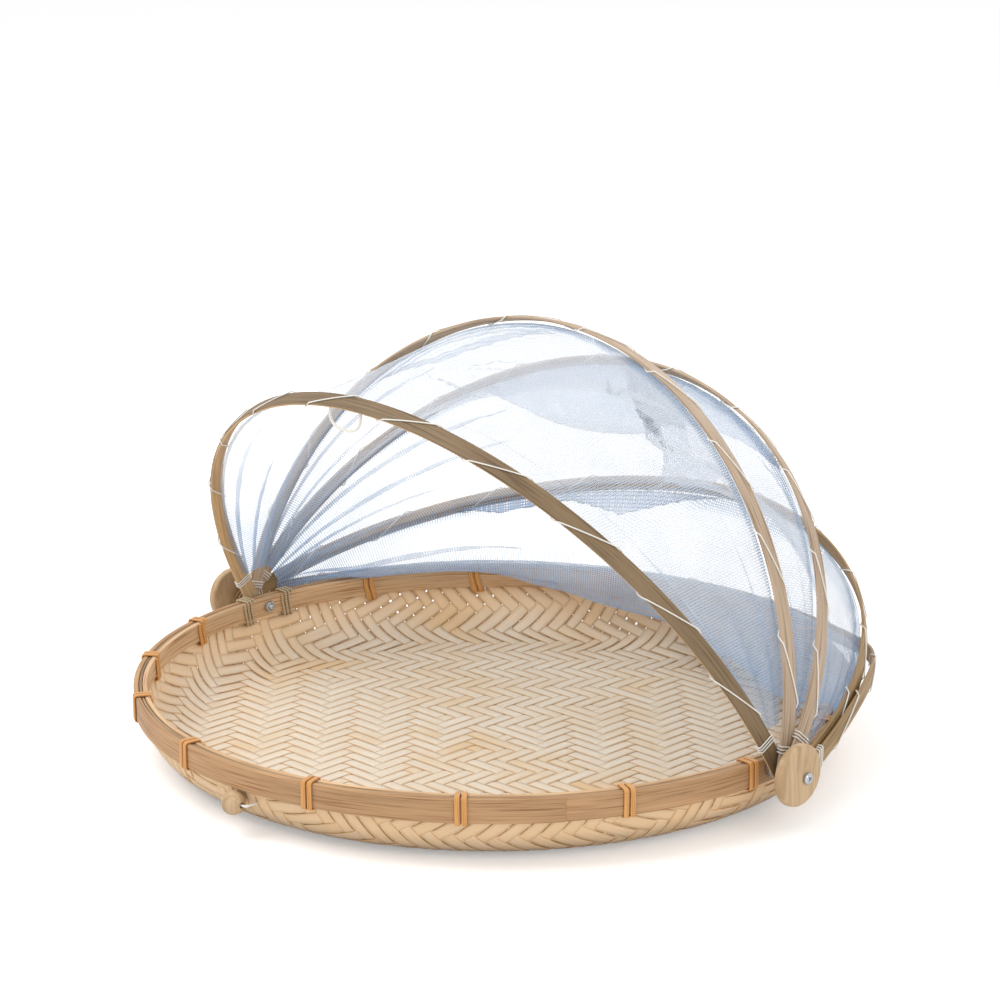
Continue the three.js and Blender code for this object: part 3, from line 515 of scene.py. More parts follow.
def new_material(name):
    """Starts a material and returns it with its tree and its shader."""
    material = bpy.data.materials.new(name)
    material.use_nodes = True
    return material, material.node_tree, material.node_tree.nodes["Principled BSDF"]


def dress(piece, material, body, slot, *nodes):
    """Gives a piece its material and its body, and hides the nodes it replaces. The slot is not used."""
    if material:
        piece.data.materials.clear()
        piece.data.materials.append(material)
    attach(piece, body)
    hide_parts(*nodes)
    return piece


# Materials


def split_bamboo(name, light, base, dark, streak, seed=0.0, heart_gain=1.0):
    """Split bamboo strip, planed: long even fibres, darker streaks and a dull waxy sheen."""
    material, tree, shader = new_material(name)
    place = add_node(tree, "ShaderNodeUVMap", uv_map="UVMap")
    parts = add_node(tree, "ShaderNodeSeparateXYZ", {0: place[0]})
    # bundles of fibres are one streak wide and run for tens of millimetres
    stretched = add_node(
        tree, "ShaderNodeMapping",
        {"Vector": place[0], "Scale": (1 / streak, 22, 1), "Location": (seed, seed, seed)},
    )
    bundles = add_node(
        tree, "ShaderNodeTexNoise", {"Vector": stretched[0], "Scale": 1, "Detail": 3, "Roughness": 0.6}
    )
    # single fibres are about 0.2 mm
    finer = add_node(tree, "ShaderNodeMapping", {"Vector": place[0], "Scale": (5000, 60, 1)})
    fibres = add_node(tree, "ShaderNodeTexNoise", {"Vector": finer[0], "Scale": 1, "Detail": 2})
    # slow changes of colour along the strip
    slow = add_node(
        tree, "ShaderNodeMapping",
        {"Vector": place[0], "Scale": (60, 9, 1), "Location": (seed, 2 * seed, 0)},
    )
    patches = add_node(tree, "ShaderNodeTexNoise", {"Vector": slow[0], "Scale": 1, "Detail": 2})
    lighter = add_node(
        tree, "ShaderNodeMapRange", {"Value": bundles[0], "From Min": 0.38, "From Max": 0.68}
    )
    body = add_node(tree, "ShaderNodeMix", {0: lighter[0], 6: base, 7: light}, data_type="RGBA")
    streaked = add_node(
        tree, "ShaderNodeMapRange", {"Value": bundles[0], "From Min": 0.46, "From Max": 0.3}
    )
    shaded = add_node(tree, "ShaderNodeMix", {0: streaked[0], 6: body[2], 7: dark}, data_type="RGBA")
    depth = add_node(
        tree, "ShaderNodeMapRange",
        {"Value": patches[0], "From Min": 0.3, "From Max": 0.7, "To Min": 0.8, "To Max": 1.12},
    )
    toned = add_node(tree, "ShaderNodeVectorMath", {0: shaded[2], "Scale": depth[0]}, operation="SCALE")
    fibre_depth = add_node(
        tree, "ShaderNodeMapRange",
        {"Value": fibres[0], "From Min": 0.3, "From Max": 0.7, "To Min": 0.93, "To Max": 1.05},
    )
    colour = add_node(
        tree, "ShaderNodeVectorMath", {0: toned[0], "Scale": fibre_depth[0]}, operation="SCALE"
    )
    # a hoop's inner face is the lighter heart of the cane; its UV starts past the outer face
    inner = add_node(
        tree, "ShaderNodeMapRange",
        {
            "Value": parts[0], "From Min": HOOP_WIDTH + 0.2 * MM, "From Max": HOOP_WIDTH + MM,
            "To Min": 1.0, "To Max": heart_gain,
        },
    )
    colour = add_node(tree, "ShaderNodeVectorMath", {0: colour[0], "Scale": inner[0]}, operation="SCALE")
    rough = add_node(
        tree, "ShaderNodeMapRange", {"Value": bundles[0], "To Min": 0.67, "To Max": 0.45}
    )
    relief = add_node(tree, "ShaderNodeMath", {0: bundles[0], 1: fibres[0]}, operation="ADD")
    bump = add_node(tree, "ShaderNodeBump", {"Height": relief[0], "Strength": 0.5, "Distance": 0.1 * MM})
    set_sockets(
        tree, shader,
        {
            "Base Color": colour[0], "Roughness": rough[0], "Normal": bump[0], "IOR": 1.5,
            "Specular IOR Level": 0.4,
        },
    )
    return material


def woven_splint_bamboo(sizes):
    """Split bamboo splints, scraped and unvarnished: cream hearts, tan edges partly painted in shade,
    painted shade under the crossings and painted light in the wall, matt with fine fibres.
    """
    material, tree, shader = new_material("bamboo_splints_scraped")
    place = add_node(tree, "ShaderNodeUVMap", uv_map="UVMap")
    parts = add_node(tree, "ShaderNodeSeparateXYZ", {0: place[0]})
    tone = add_node(tree, "ShaderNodeAttribute", attribute_name="tone")
    over = add_node(tree, "ShaderNodeAttribute", attribute_name="over")
    body = add_node(tree, "ShaderNodeTexCoord")
    shift = add_node(tree, "ShaderNodeMath", {0: tone["Fac"], 1: 40.0}, operation="MULTIPLY")
    # fibre bundles, 0.5 mm wide and 60 mm long
    stretched = add_node(tree, "ShaderNodeCombineXYZ", {0: parts[0], 1: parts[1], 2: shift[0]})
    scaled = add_node(
        tree, "ShaderNodeVectorMath", {0: stretched[0], 1: (14.0, 18.0, 1.0)}, operation="MULTIPLY"
    )
    fibres = add_node(
        tree, "ShaderNodeTexNoise", {"Vector": scaled[0], "Scale": 1.0, "Detail": 3.0, "Roughness": 0.65}
    )
    # the distance from the splint's middle, 0 to 0.5 of its width
    centred = add_node(tree, "ShaderNodeMath", {0: parts[0], 1: 0.5}, operation="SUBTRACT")
    side = add_node(tree, "ShaderNodeMath", {0: centred[0]}, operation="ABSOLUTE")
    edge = add_node(
        tree, "ShaderNodeMapRange", {"Value": side[0], "From Min": 0.38, "From Max": 0.5},
        interpolation_type="SMOOTHSTEP",
    )
    # greyer and warmer patches, tens of millimetres across, from where the mat was scraped
    patches = add_node(tree, "ShaderNodeTexNoise", {"Vector": body["Object"], "Scale": 16.0, "Detail": 3.0})
    worn = add_node(tree, "ShaderNodeMapRange", {"Value": patches[0], "From Min": 0.42, "From Max": 0.68})
    shade = add_node(tree, "ShaderNodeMapRange", {"Value": fibres[0], "From Min": 0.34, "From Max": 0.7})
    heart = add_node(
        tree, "ShaderNodeMix", {0: shade[0], 6: sizes.heart_colour, 7: sizes.pale_colour}, data_type="RGBA"
    )
    warm = add_node(tree, "ShaderNodeMath", {0: tone["Fac"], 1: worn[0]}, operation="MULTIPLY")
    mixed = add_node(
        tree, "ShaderNodeMix", {0: warm[0], 6: heart[2], 7: sizes.warm_colour}, data_type="RGBA"
    )
    # the edges are tan partly from the bamboo's own skin and partly from painted shade between neighbouring
    # splints
    edged_share = add_node(tree, "ShaderNodeMath", {0: edge[0], 1: 0.75}, operation="MULTIPLY")
    edged = add_node(
        tree, "ShaderNodeMix", {0: edged_share[0], 6: mixed[2], 7: sizes.edge_skin_and_shade_colour}, data_type="RGBA"
    )
    # painted shade where a splint dives under its neighbours
    under = add_node(
        tree, "ShaderNodeMapRange", {"Value": over["Fac"], "From Min": 0.62, "From Max": 0.3, "To Max": 0.5}
    )
    colour = add_node(
        tree, "ShaderNodeMix", {0: under[0], 6: edged[2], 7: sizes.gap_painted_shade}, data_type="RGBA"
    )
    # the flare and the wall are tinted warmer and lighter: partly their warm outer layer, partly painted
    # light shining through the thin splints
    height = add_node(tree, "ShaderNodeSeparateXYZ", {0: body["Object"]})
    wall_skin_and_light = add_node(
        tree, "ShaderNodeMapRange",
        {
            "Value": height[2], "From Min": WALL_TINT_HEIGHTS[0], "From Max": WALL_TINT_HEIGHTS[1],
            "To Max": 0.55,
        },
    )
    final = add_node(
        tree, "ShaderNodeMix", {0: wall_skin_and_light[0], 6: colour[2], 7: sizes.wall_skin_and_light_tint}, data_type="RGBA"
    )
    bump = add_node(tree, "ShaderNodeBump", {"Height": fibres[0], "Strength": 0.6, "Distance": 0.15 * MM})
    set_sockets(
        tree, shader,
        {
            "Base Color": final[2], "Roughness": 0.62, "Normal": bump[0], "IOR": 1.5,
            "Specular IOR Level": 0.35,
        },
    )
    return material


def split_rattan(sizes):
    """Split rattan peel, steamed and pulled tight: orange, glossy skin with fine lengthwise lines."""
    material, tree, shader = new_material("rattan_peel_split")
    place = add_node(tree, "ShaderNodeUVMap", uv_map="UVMap")
    finer = add_node(tree, "ShaderNodeMapping", {"Vector": place[0], "Scale": (2200.0, 40.0, 1.0)})
    lines = add_node(tree, "ShaderNodeTexNoise", {"Vector": finer[0], "Scale": 1.0, "Detail": 2.0})
    shade = add_node(tree, "ShaderNodeMapRange", {"Value": lines[0], "From Min": 0.35, "From Max": 0.65})
    colour = add_node(
        tree, "ShaderNodeMix", {0: shade[0], 6: sizes.rattan_shade, 7: sizes.rattan_colour},
        data_type="RGBA",
    )
    bump = add_node(tree, "ShaderNodeBump", {"Height": lines[0], "Strength": 0.4, "Distance": 0.08 * MM})
    set_sockets(
        tree, shader, {"Base Color": colour[2], "Roughness": 0.38, "Normal": bump[0], "IOR": 1.5}
    )
    return material


def twisted_yarn(name, colour, shade, pitch):
    """Twisted yarn: matt, with a fine slanting ply that shows as small bright and dark bands, the dark bands
    painted shade in the grooves between the plies.
    """
    material, tree, shader = new_material(name)
    place = add_node(tree, "ShaderNodeUVMap", uv_map="UVMap")
    parts = add_node(tree, "ShaderNodeSeparateXYZ", {0: place[0]})
    # one ply each pitch along the yarn, slanted once round it
    turns = add_node(tree, "ShaderNodeMath", {0: parts[1], 1: 1 / pitch}, operation="MULTIPLY")
    slant = add_node(tree, "ShaderNodeMath", {0: turns[0], 1: parts[0]}, operation="ADD")
    phase = add_node(tree, "ShaderNodeMath", {0: slant[0], 1: 2 * math.pi}, operation="MULTIPLY")
    wave = add_node(tree, "ShaderNodeMath", {0: phase[0]}, operation="SINE")
    height = add_node(tree, "ShaderNodeMapRange", {"Value": wave[0], "From Min": -1.0, "From Max": 0.4})
    # painted shade: the colour darkens into the grooves of the ply, along the same wave as the bump
    tone = add_node(tree, "ShaderNodeMix", {0: height[0], 6: shade, 7: colour}, data_type="RGBA")
    bump = add_node(tree, "ShaderNodeBump", {"Height": wave[0], "Strength": 0.5, "Distance": 0.1 * MM})
    set_sockets(
        tree, shader, {"Base Color": tone[2], "Roughness": 0.85, "Normal": bump[0], "Sheen Weight": 0.2}
    )
    return material


def turned_beech(sizes):
    """Beech, turned and sanded: pale tan, straight fine grain with short darker flecks."""
    material, tree, shader = new_material("beech_turned_sanded")
    place = add_node(tree, "ShaderNodeTexCoord")
    # the grain runs upright and its lines are about 0.9 mm apart
    upright = add_node(
        tree, "ShaderNodeMapping", {"Vector": place["Object"], "Scale": (1100.0, 1100.0, 45.0)}
    )
    grain = add_node(
        tree, "ShaderNodeTexNoise", {"Vector": upright[0], "Scale": 1.0, "Detail": 3.0, "Roughness": 0.6}
    )
    broad = add_node(tree, "ShaderNodeMapping", {"Vector": place["Object"], "Scale": (190.0, 190.0, 38.0)})
    bands = add_node(
        tree, "ShaderNodeTexNoise", {"Vector": broad[0], "Scale": 1.0, "Detail": 2.0, "Distortion": 0.7}
    )
    lighter = add_node(tree, "ShaderNodeMapRange", {"Value": bands[0], "From Min": 0.36, "From Max": 0.62})
    wood = add_node(
        tree, "ShaderNodeMix", {0: lighter[0], 6: sizes.beech_shade, 7: sizes.beech_colour},
        data_type="RGBA",
    )
    flecked = add_node(
        tree, "ShaderNodeMapRange", {"Value": grain[0], "From Min": 0.47, "From Max": 0.3, "To Max": 0.55}
    )
    colour = add_node(
        tree, "ShaderNodeMix", {0: flecked[0], 6: wood[2], 7: sizes.beech_fleck}, data_type="RGBA"
    )
    bump = add_node(tree, "ShaderNodeBump", {"Height": grain[0], "Strength": 0.4, "Distance": 0.08 * MM})
    set_sockets(
        tree, shader,
        {
            "Base Color": colour[2], "Roughness": 0.52, "Normal": bump[0], "IOR": 1.5,
            "Specular IOR Level": 0.4,
        },
    )
    return material


def zinc_steel(sizes):
    """Zinc-plated steel, cold formed: bright grey with faint blotches of the plating."""
    material, tree, shader = new_material("steel_zinc_plated")
    place = add_node(tree, "ShaderNodeTexCoord")
    blotches = add_node(
        tree, "ShaderNodeTexNoise", {"Vector": place["Object"], "Scale": 900.0, "Detail": 3.0}
    )
    colour = add_node(
        tree, "ShaderNodeMix", {0: blotches[0], 6: sizes.zinc_shade, 7: sizes.zinc_colour}, data_type="RGBA"
    )
    rough = add_node(tree, "ShaderNodeMapRange", {"Value": blotches[0], "To Min": 0.22, "To Max": 0.45})
    bump = add_node(tree, "ShaderNodeBump", {"Height": blotches[0], "Strength": 0.2, "Distance": 0.03 * MM})
    set_sockets(
        tree, shader, {"Base Color": colour[2], "Metallic": 1.0, "Roughness": rough[0], "Normal": bump[0]}
    )
    return material


def tulle(sizes):
    """Polyester tulle, knitted: a hexagon mesh of fine blue-white yarn, seen through between them."""
    material, tree, shader = new_material("polyester_tulle_knitted")
    place = add_node(tree, "ShaderNodeUVMap", uv_map="UVMap")
    # the holes of the real net are about 1 mm apart, too fine to show at this size: they are drawn as
    # coarse as Mesh Size, 1.4 mm
    cells = add_node(
        tree, "ShaderNodeTexVoronoi",
        {"Vector": place[0], "Scale": 1 / sizes.mesh_size, "Randomness": 0.15}, feature="DISTANCE_TO_EDGE",
        voronoi_dimensions="2D",
    )
    yarn = add_node(
        tree, "ShaderNodeMapRange",
        {"Value": cells[0], "From Min": 0.06, "From Max": 0.3, "To Min": 1.0, "To Max": 0.0},
    )
    # the net is a little denser in some places, where it was stretched less
    broad = add_node(tree, "ShaderNodeTexNoise", {"Vector": place[0], "Scale": 35.0, "Detail": 3.0})
    dense = add_node(
        tree, "ShaderNodeMapRange",
        {"Value": broad[0], "From Min": 0.3, "From Max": 0.7, "To Min": 0.8, "To Max": 1.2},
    )
    cover = add_node(
        tree, "ShaderNodeMapRange",
        {"Value": yarn[0], "To Min": sizes.thin_cover, "To Max": sizes.yarn_cover},
    )
    share = add_node(tree, "ShaderNodeMath", {0: cover[0], 1: dense[0]}, operation="MULTIPLY")
    # at its hems and ends and where it hangs slack the net is bunched and covers more; there it is also
    # painted darker and bluer, a painted shade of its inner layers
    bunched_and_shaded = add_node(tree, "ShaderNodeAttribute", attribute_name="bunched_and_shaded")
    more = add_node(tree, "ShaderNodeMapRange", {"Value": bunched_and_shaded[2], "To Min": 1.0, "To Max": 1.4})
    share = add_node(tree, "ShaderNodeMath", {0: share[0], 1: more[0]}, operation="MULTIPLY")
    colour = add_node(
        tree, "ShaderNodeMix", {0: bunched_and_shaded[2], 6: sizes.net_colour, 7: sizes.net_bunched_shade}, data_type="RGBA"
    )
    lit = add_node(tree, "ShaderNodeBsdfDiffuse", {"Color": colour[2]})
    through = add_node(tree, "ShaderNodeBsdfTranslucent", {"Color": colour[2]})
    cloth = add_node(tree, "ShaderNodeMixShader", {0: 0.5, 1: lit[0], 2: through[0]})
    clear = add_node(tree, "ShaderNodeBsdfTransparent")
    net = add_node(tree, "ShaderNodeMixShader", {0: share[0], 1: clear[0], 2: cloth[0]})
    tree.nodes.remove(shader)
    set_sockets(tree, tree.nodes["Material Output"], {"Surface": net[0]})
    return material


# Settings that a user would change


def colour_setting(name, description, code):
    """A colour that a user may choose, with an sRGB hex code as its default."""
    return FloatVectorProperty(
        name=name, description=description, default=linear(code), size=4, subtype="COLOR"
    )


class TraySettings(bpy.types.PropertyGroup):
    """Sizes and colours of the woven tray and its rim."""

    splint_pitch: FloatProperty(
        name="Splint Pitch", description="From one splint to the next", default=7.3 * MM, min=3 * MM,
        unit="LENGTH",
    )
    splint_width: FloatProperty(
        name="Splint Width", description="Width of one splint", default=7 * MM, min=2 * MM, unit="LENGTH"
    )
    splint_thickness: FloatProperty(
        name="Splint Thickness", description="Thickness of one splint", default=0.5 * MM, min=0.1 * MM,
        unit="LENGTH",
    )
    splint_lift: FloatProperty(
        name="Splint Lift", description="From the middle of the weave to a splint", default=0.36 * MM,
        min=0, unit="LENGTH",
    )
    weave_centre: FloatVectorProperty(
        name="Weave Centre", description="Where the twill's diamonds start",
        default=(9.7 * MM, -1.5 * MM, 0), subtype="XYZ_LENGTH",
    )
    seed: IntProperty(name="Seed", description="Chooses the splints' small differences", default=7)
    heart_colour: colour_setting("Splint", "Colour of a splint's middle", "#d4c2aa")
    pale_colour: colour_setting("Splint, Pale", "Colour of its lighter fibres", "#e6dac8")
    warm_colour: colour_setting("Splint, Warm", "Colour of worn patches", "#d8b88d")
    # partly the bamboo skin's own tan, partly painted shade between neighbouring splints
    edge_skin_and_shade_colour: colour_setting("Splint Edge", "Colour along a splint's edges", "#c99d66")
    # painted shade where a splint dives under others
    gap_painted_shade: colour_setting("Gap", "Colour where a splint dives under others", "#80603c")
    # partly the wall's warmer skin, partly painted light shining through the thin splints
    wall_skin_and_light_tint: colour_setting("Wall Tint", "Tint of the splints in the wall", "#ffd9a8")
    band_colour: colour_setting("Outer Band", "Colour of the outer band", "#ac825a")
    band_light: colour_setting("Outer Band, Light", "Its lighter fibres", "#c19a70")
    band_dark: colour_setting("Outer Band, Dark", "Its darker streaks", "#8e643e")
    inner_colour: colour_setting("Inner Band", "Colour of the inner band", "#c69e76")
    rattan_colour: colour_setting("Rattan", "Colour of the ties", "#dfa661")
    rattan_shade: colour_setting("Rattan, Shade", "Darker lines of the ties", "#b97b3c")
    cord_colour: colour_setting("Cord", "Colour of the lashings", "#c9b493")
    tie_width: FloatProperty(
        name="Tie Strand Width", description="Width of one rattan strand", default=2.5 * MM, min=MM,
        unit="LENGTH",
    )


class CanopySettings(bpy.types.PropertyGroup):
    """Sizes and colours of the hoops, the net and the fittings."""

    front_hoop_colour: colour_setting("Front Hoop", "Colour of the front hoop", "#766046")
    middle_hoop_colour: colour_setting("Middle Hoops", "Colour of the second and third hoop", "#ab927a")
    rear_hoop_colour: colour_setting("Rear Hoops", "Colour of the two rear hoops", "#9a7b54")
    thread_colour: colour_setting("Thread", "Colour of the sewing thread", "#f6f3ec")
    thread_size: FloatProperty(
        name="Thread Size", description="Thickness of the sewing thread", default=0.72 * MM, min=0.2 * MM,
        max=MM, unit="LENGTH",
    )
    net_colour: colour_setting("Net", "Colour of the net's yarn", "#e0e9f5")
    # painted shade of the bunched net's inner layers
    net_bunched_shade: colour_setting("Net, Bunched", "Its colour where it is bunched", "#abc1dc")
    mesh_size: FloatProperty(
        name="Mesh Size", description="From one hole of the net to the next", default=1.4 * MM,
        min=0.4 * MM, unit="LENGTH",
    )
    yarn_cover: FloatProperty(
        name="Yarn Cover", description="How much light the net's yarn stops", default=0.7, min=0, max=1,
        subtype="FACTOR",
    )
    thin_cover: FloatProperty(
        name="Hole Cover", description="How much light the net's holes stop", default=0.05, min=0, max=1,
        subtype="FACTOR",
    )
    beech_colour: colour_setting("Beech", "Colour of the discs and the bead", "#c6a985")
    beech_shade: colour_setting("Beech, Shade", "Its darker bands", "#ad8f69")
    beech_fleck: colour_setting("Beech, Flecks", "Its darkest lines", "#a6835e")
    zinc_colour: colour_setting("Zinc", "Colour of screws, nuts and washers", "#d2d6dc")
    zinc_shade: colour_setting("Zinc, Shade", "Its duller spots", "#a9adb5")


class StageSettings(bpy.types.PropertyGroup):
    """The studio round the tray."""

    world_strength: FloatProperty(
        name="Fill Light", description="Strength of the even light from all sides", default=0.75, min=0
    )
    key_power: FloatProperty(
        name="Key Light", description="Power of the large lamp above", default=16, min=0, unit="POWER"
    )
    floor_colour: colour_setting("Floor", "Colour of the floor", "#f4f4f4")


class NetTraySettings(bpy.types.PropertyGroup):
    """All settings of the tray, its canopy and the stage."""

    tray: PointerProperty(type=TraySettings)
    canopy: PointerProperty(type=CanopySettings)
    stage: PointerProperty(type=StageSettings)


# Lines that pieces follow


def flare_point(share):
    """A point of the weave's outer face, from the flat to the bands, as (radius, height)."""
    wide = WALL_RADIUS - FLOOR_RADIUS
    ends = [
        (FLOOR_RADIUS, 0),
        (FLOOR_RADIUS + wide * FLARE_WIDTH_SHARES[0], 0),
        (FLOOR_RADIUS + wide * FLARE_WIDTH_SHARES[1], FLARE_TOP * FLARE_RISE_SHARE),
        (WALL_RADIUS, FLARE_TOP),
    ]
    rest = 1 - share
    weights = (rest**3, 3 * rest**2 * share, 3 * rest * share**2, share**3)
    return np.array([sum(w * e[axis] for w, e in zip(weights, ends)) for axis in (0, 1)])


def weave_profile():
    """The middle of the weave's wall, from the tray's centre to its cut edge, as (radius, height)."""
    outer = [(FLOOR_RADIUS * k / FLAT_STEPS, 0) for k in range(FLAT_STEPS)]
    outer += [flare_point(k / FLARE_STEPS) for k in range(FLARE_STEPS + 1)]
    wall = (WEAVE_TOP - FLARE_TOP) / WALL_STEPS
    outer += [(WALL_RADIUS, FLARE_TOP + wall * k) for k in range(1, WALL_STEPS + 1)]
    outer = np.array(outer)
    slope = np.gradient(outer, axis=0)
    slope /= np.linalg.norm(slope, axis=1)[:, None]
    inwards = np.stack([-slope[:, 1], slope[:, 0]], axis=1)
    return outer + inwards * WEAVE_WALL / 2


class Arch:
    """The middle line of a hoop in its own plane, x across and y away from the bolts."""

    def __init__(self, i):
        self.turn = math.radians(HOOP_ANGLES[i])
        self.reach = FIRST_REACH + HOOP_PITCH * i
        self.rise = HOOP_RISES[i] * MM
        power = HOOP_POWERS[i]
        turns = np.linspace(0, math.pi, ARCH_STEPS)
        cosines, sines = np.cos(turns), np.abs(np.sin(turns))
        sines[[0, -1]] = 0
        self.x = np.sign(cosines) * self.reach * np.abs(cosines) ** (2 / power)
        self.y = self.rise * sines ** (2 / power)
        out_x = np.sign(self.x) * np.abs(self.x / self.reach) ** (power - 1) / self.reach
        out_y = np.abs(self.y / self.rise) ** (power - 1) / self.rise
        size = np.hypot(out_x, out_y)
        self.out_x, self.out_y = out_x / size, out_y / size
        self.lengths = lengths_along(np.stack([self.x, self.y], axis=1))
        self.length = self.lengths[-1]
        share = np.clip((self.y - BEND_START) / (self.rise - BEND_START), 0, 1)
        self.z = HOOP_BENDS[i] * MM * np.maximum(self.x, 0) / self.reach * np.sin(math.pi * share)

    def along(self, lengths):
        """The points at lengths along the arch, and the directions out of its faces."""
        wanted = (self.x, self.y, self.z, self.out_x, self.out_y)
        x, y, z, out_x, out_y = (np.interp(lengths, self.lengths, row) for row in wanted)
        out = np.stack([out_x, out_y, 0 * out_x], axis=-1)
        out /= np.linalg.norm(out, axis=-1, keepdims=True)
        return np.stack([x, y, z], axis=-1), out

    def placed(self, points, is_direction=False):
        """Turns points of the hoop's own plane to where it stands at rest."""
        cosine, sine = math.cos(self.turn), math.sin(self.turn)
        x, y, z = points[..., 0], points[..., 1], points[..., 2]
        lift = 0 if is_direction else PIVOT_HEIGHT
        return np.stack([x, -y * cosine - z * sine, y * sine - z * cosine + lift], axis=-1)


ARCHES = [Arch(i) for i in range(len(HOOP_ANGLES))]


def hoop_body(i):
    """The body that hoop i rides on."""
    return f"hoop_{i + 1}_frame"


def round_hoop(arch, lengths, turns):
    """Points round a hoop's section, with lengths along it and turns in whole turns."""
    at, out = arch.along(lengths)
    wide = HOOP_WIDTH / 2 + CLEARANCE + THREAD / 2
    high = HOOP_THICKNESS / 2 + CLEARANCE + THREAD / 2
    # eight corners of a turn: over the outer face, round an edge and back along the inner face
    inner = wide - THREAD / 2
    corners = np.arange(9) / 8
    share = np.asarray(turns) % 1
    across = np.interp(share, corners, (-wide, -inner, 0, inner, wide, inner, 0, -inner, -wide))
    off = np.interp(share, corners, (0, high, high, high, 0, -high, -high, -high, 0))
    return at + out * off[:, None] + np.array([0, 0, 1.0]) * across[:, None]


def curve_point(before, start, end, after, share):
    """A point of a smooth curve at a share of the way from a start to an end, past its neighbours."""
    slope = end - before
    bend = 2 * before - 5 * start + 4 * end - after
    twist = 3 * start - before - 3 * end + after
    return 0.5 * (2 * start + slope * share + bend * share**2 + twist * share**3)


def line_piece(name, points, loop=False):
    """A mesh of edges for a tree to follow."""
    count = len(points)
    edges = [(k, (k + 1) % count) for k in range(count if loop else count - 1)]
    mesh = bpy.data.meshes.new(name)
    mesh.from_pydata([tuple(point) for point in points], edges, [])
    piece = bpy.data.objects.new(name, mesh)
    bpy.context.scene.collection.objects.link(piece)
    return piece


# Geometry Nodes trees


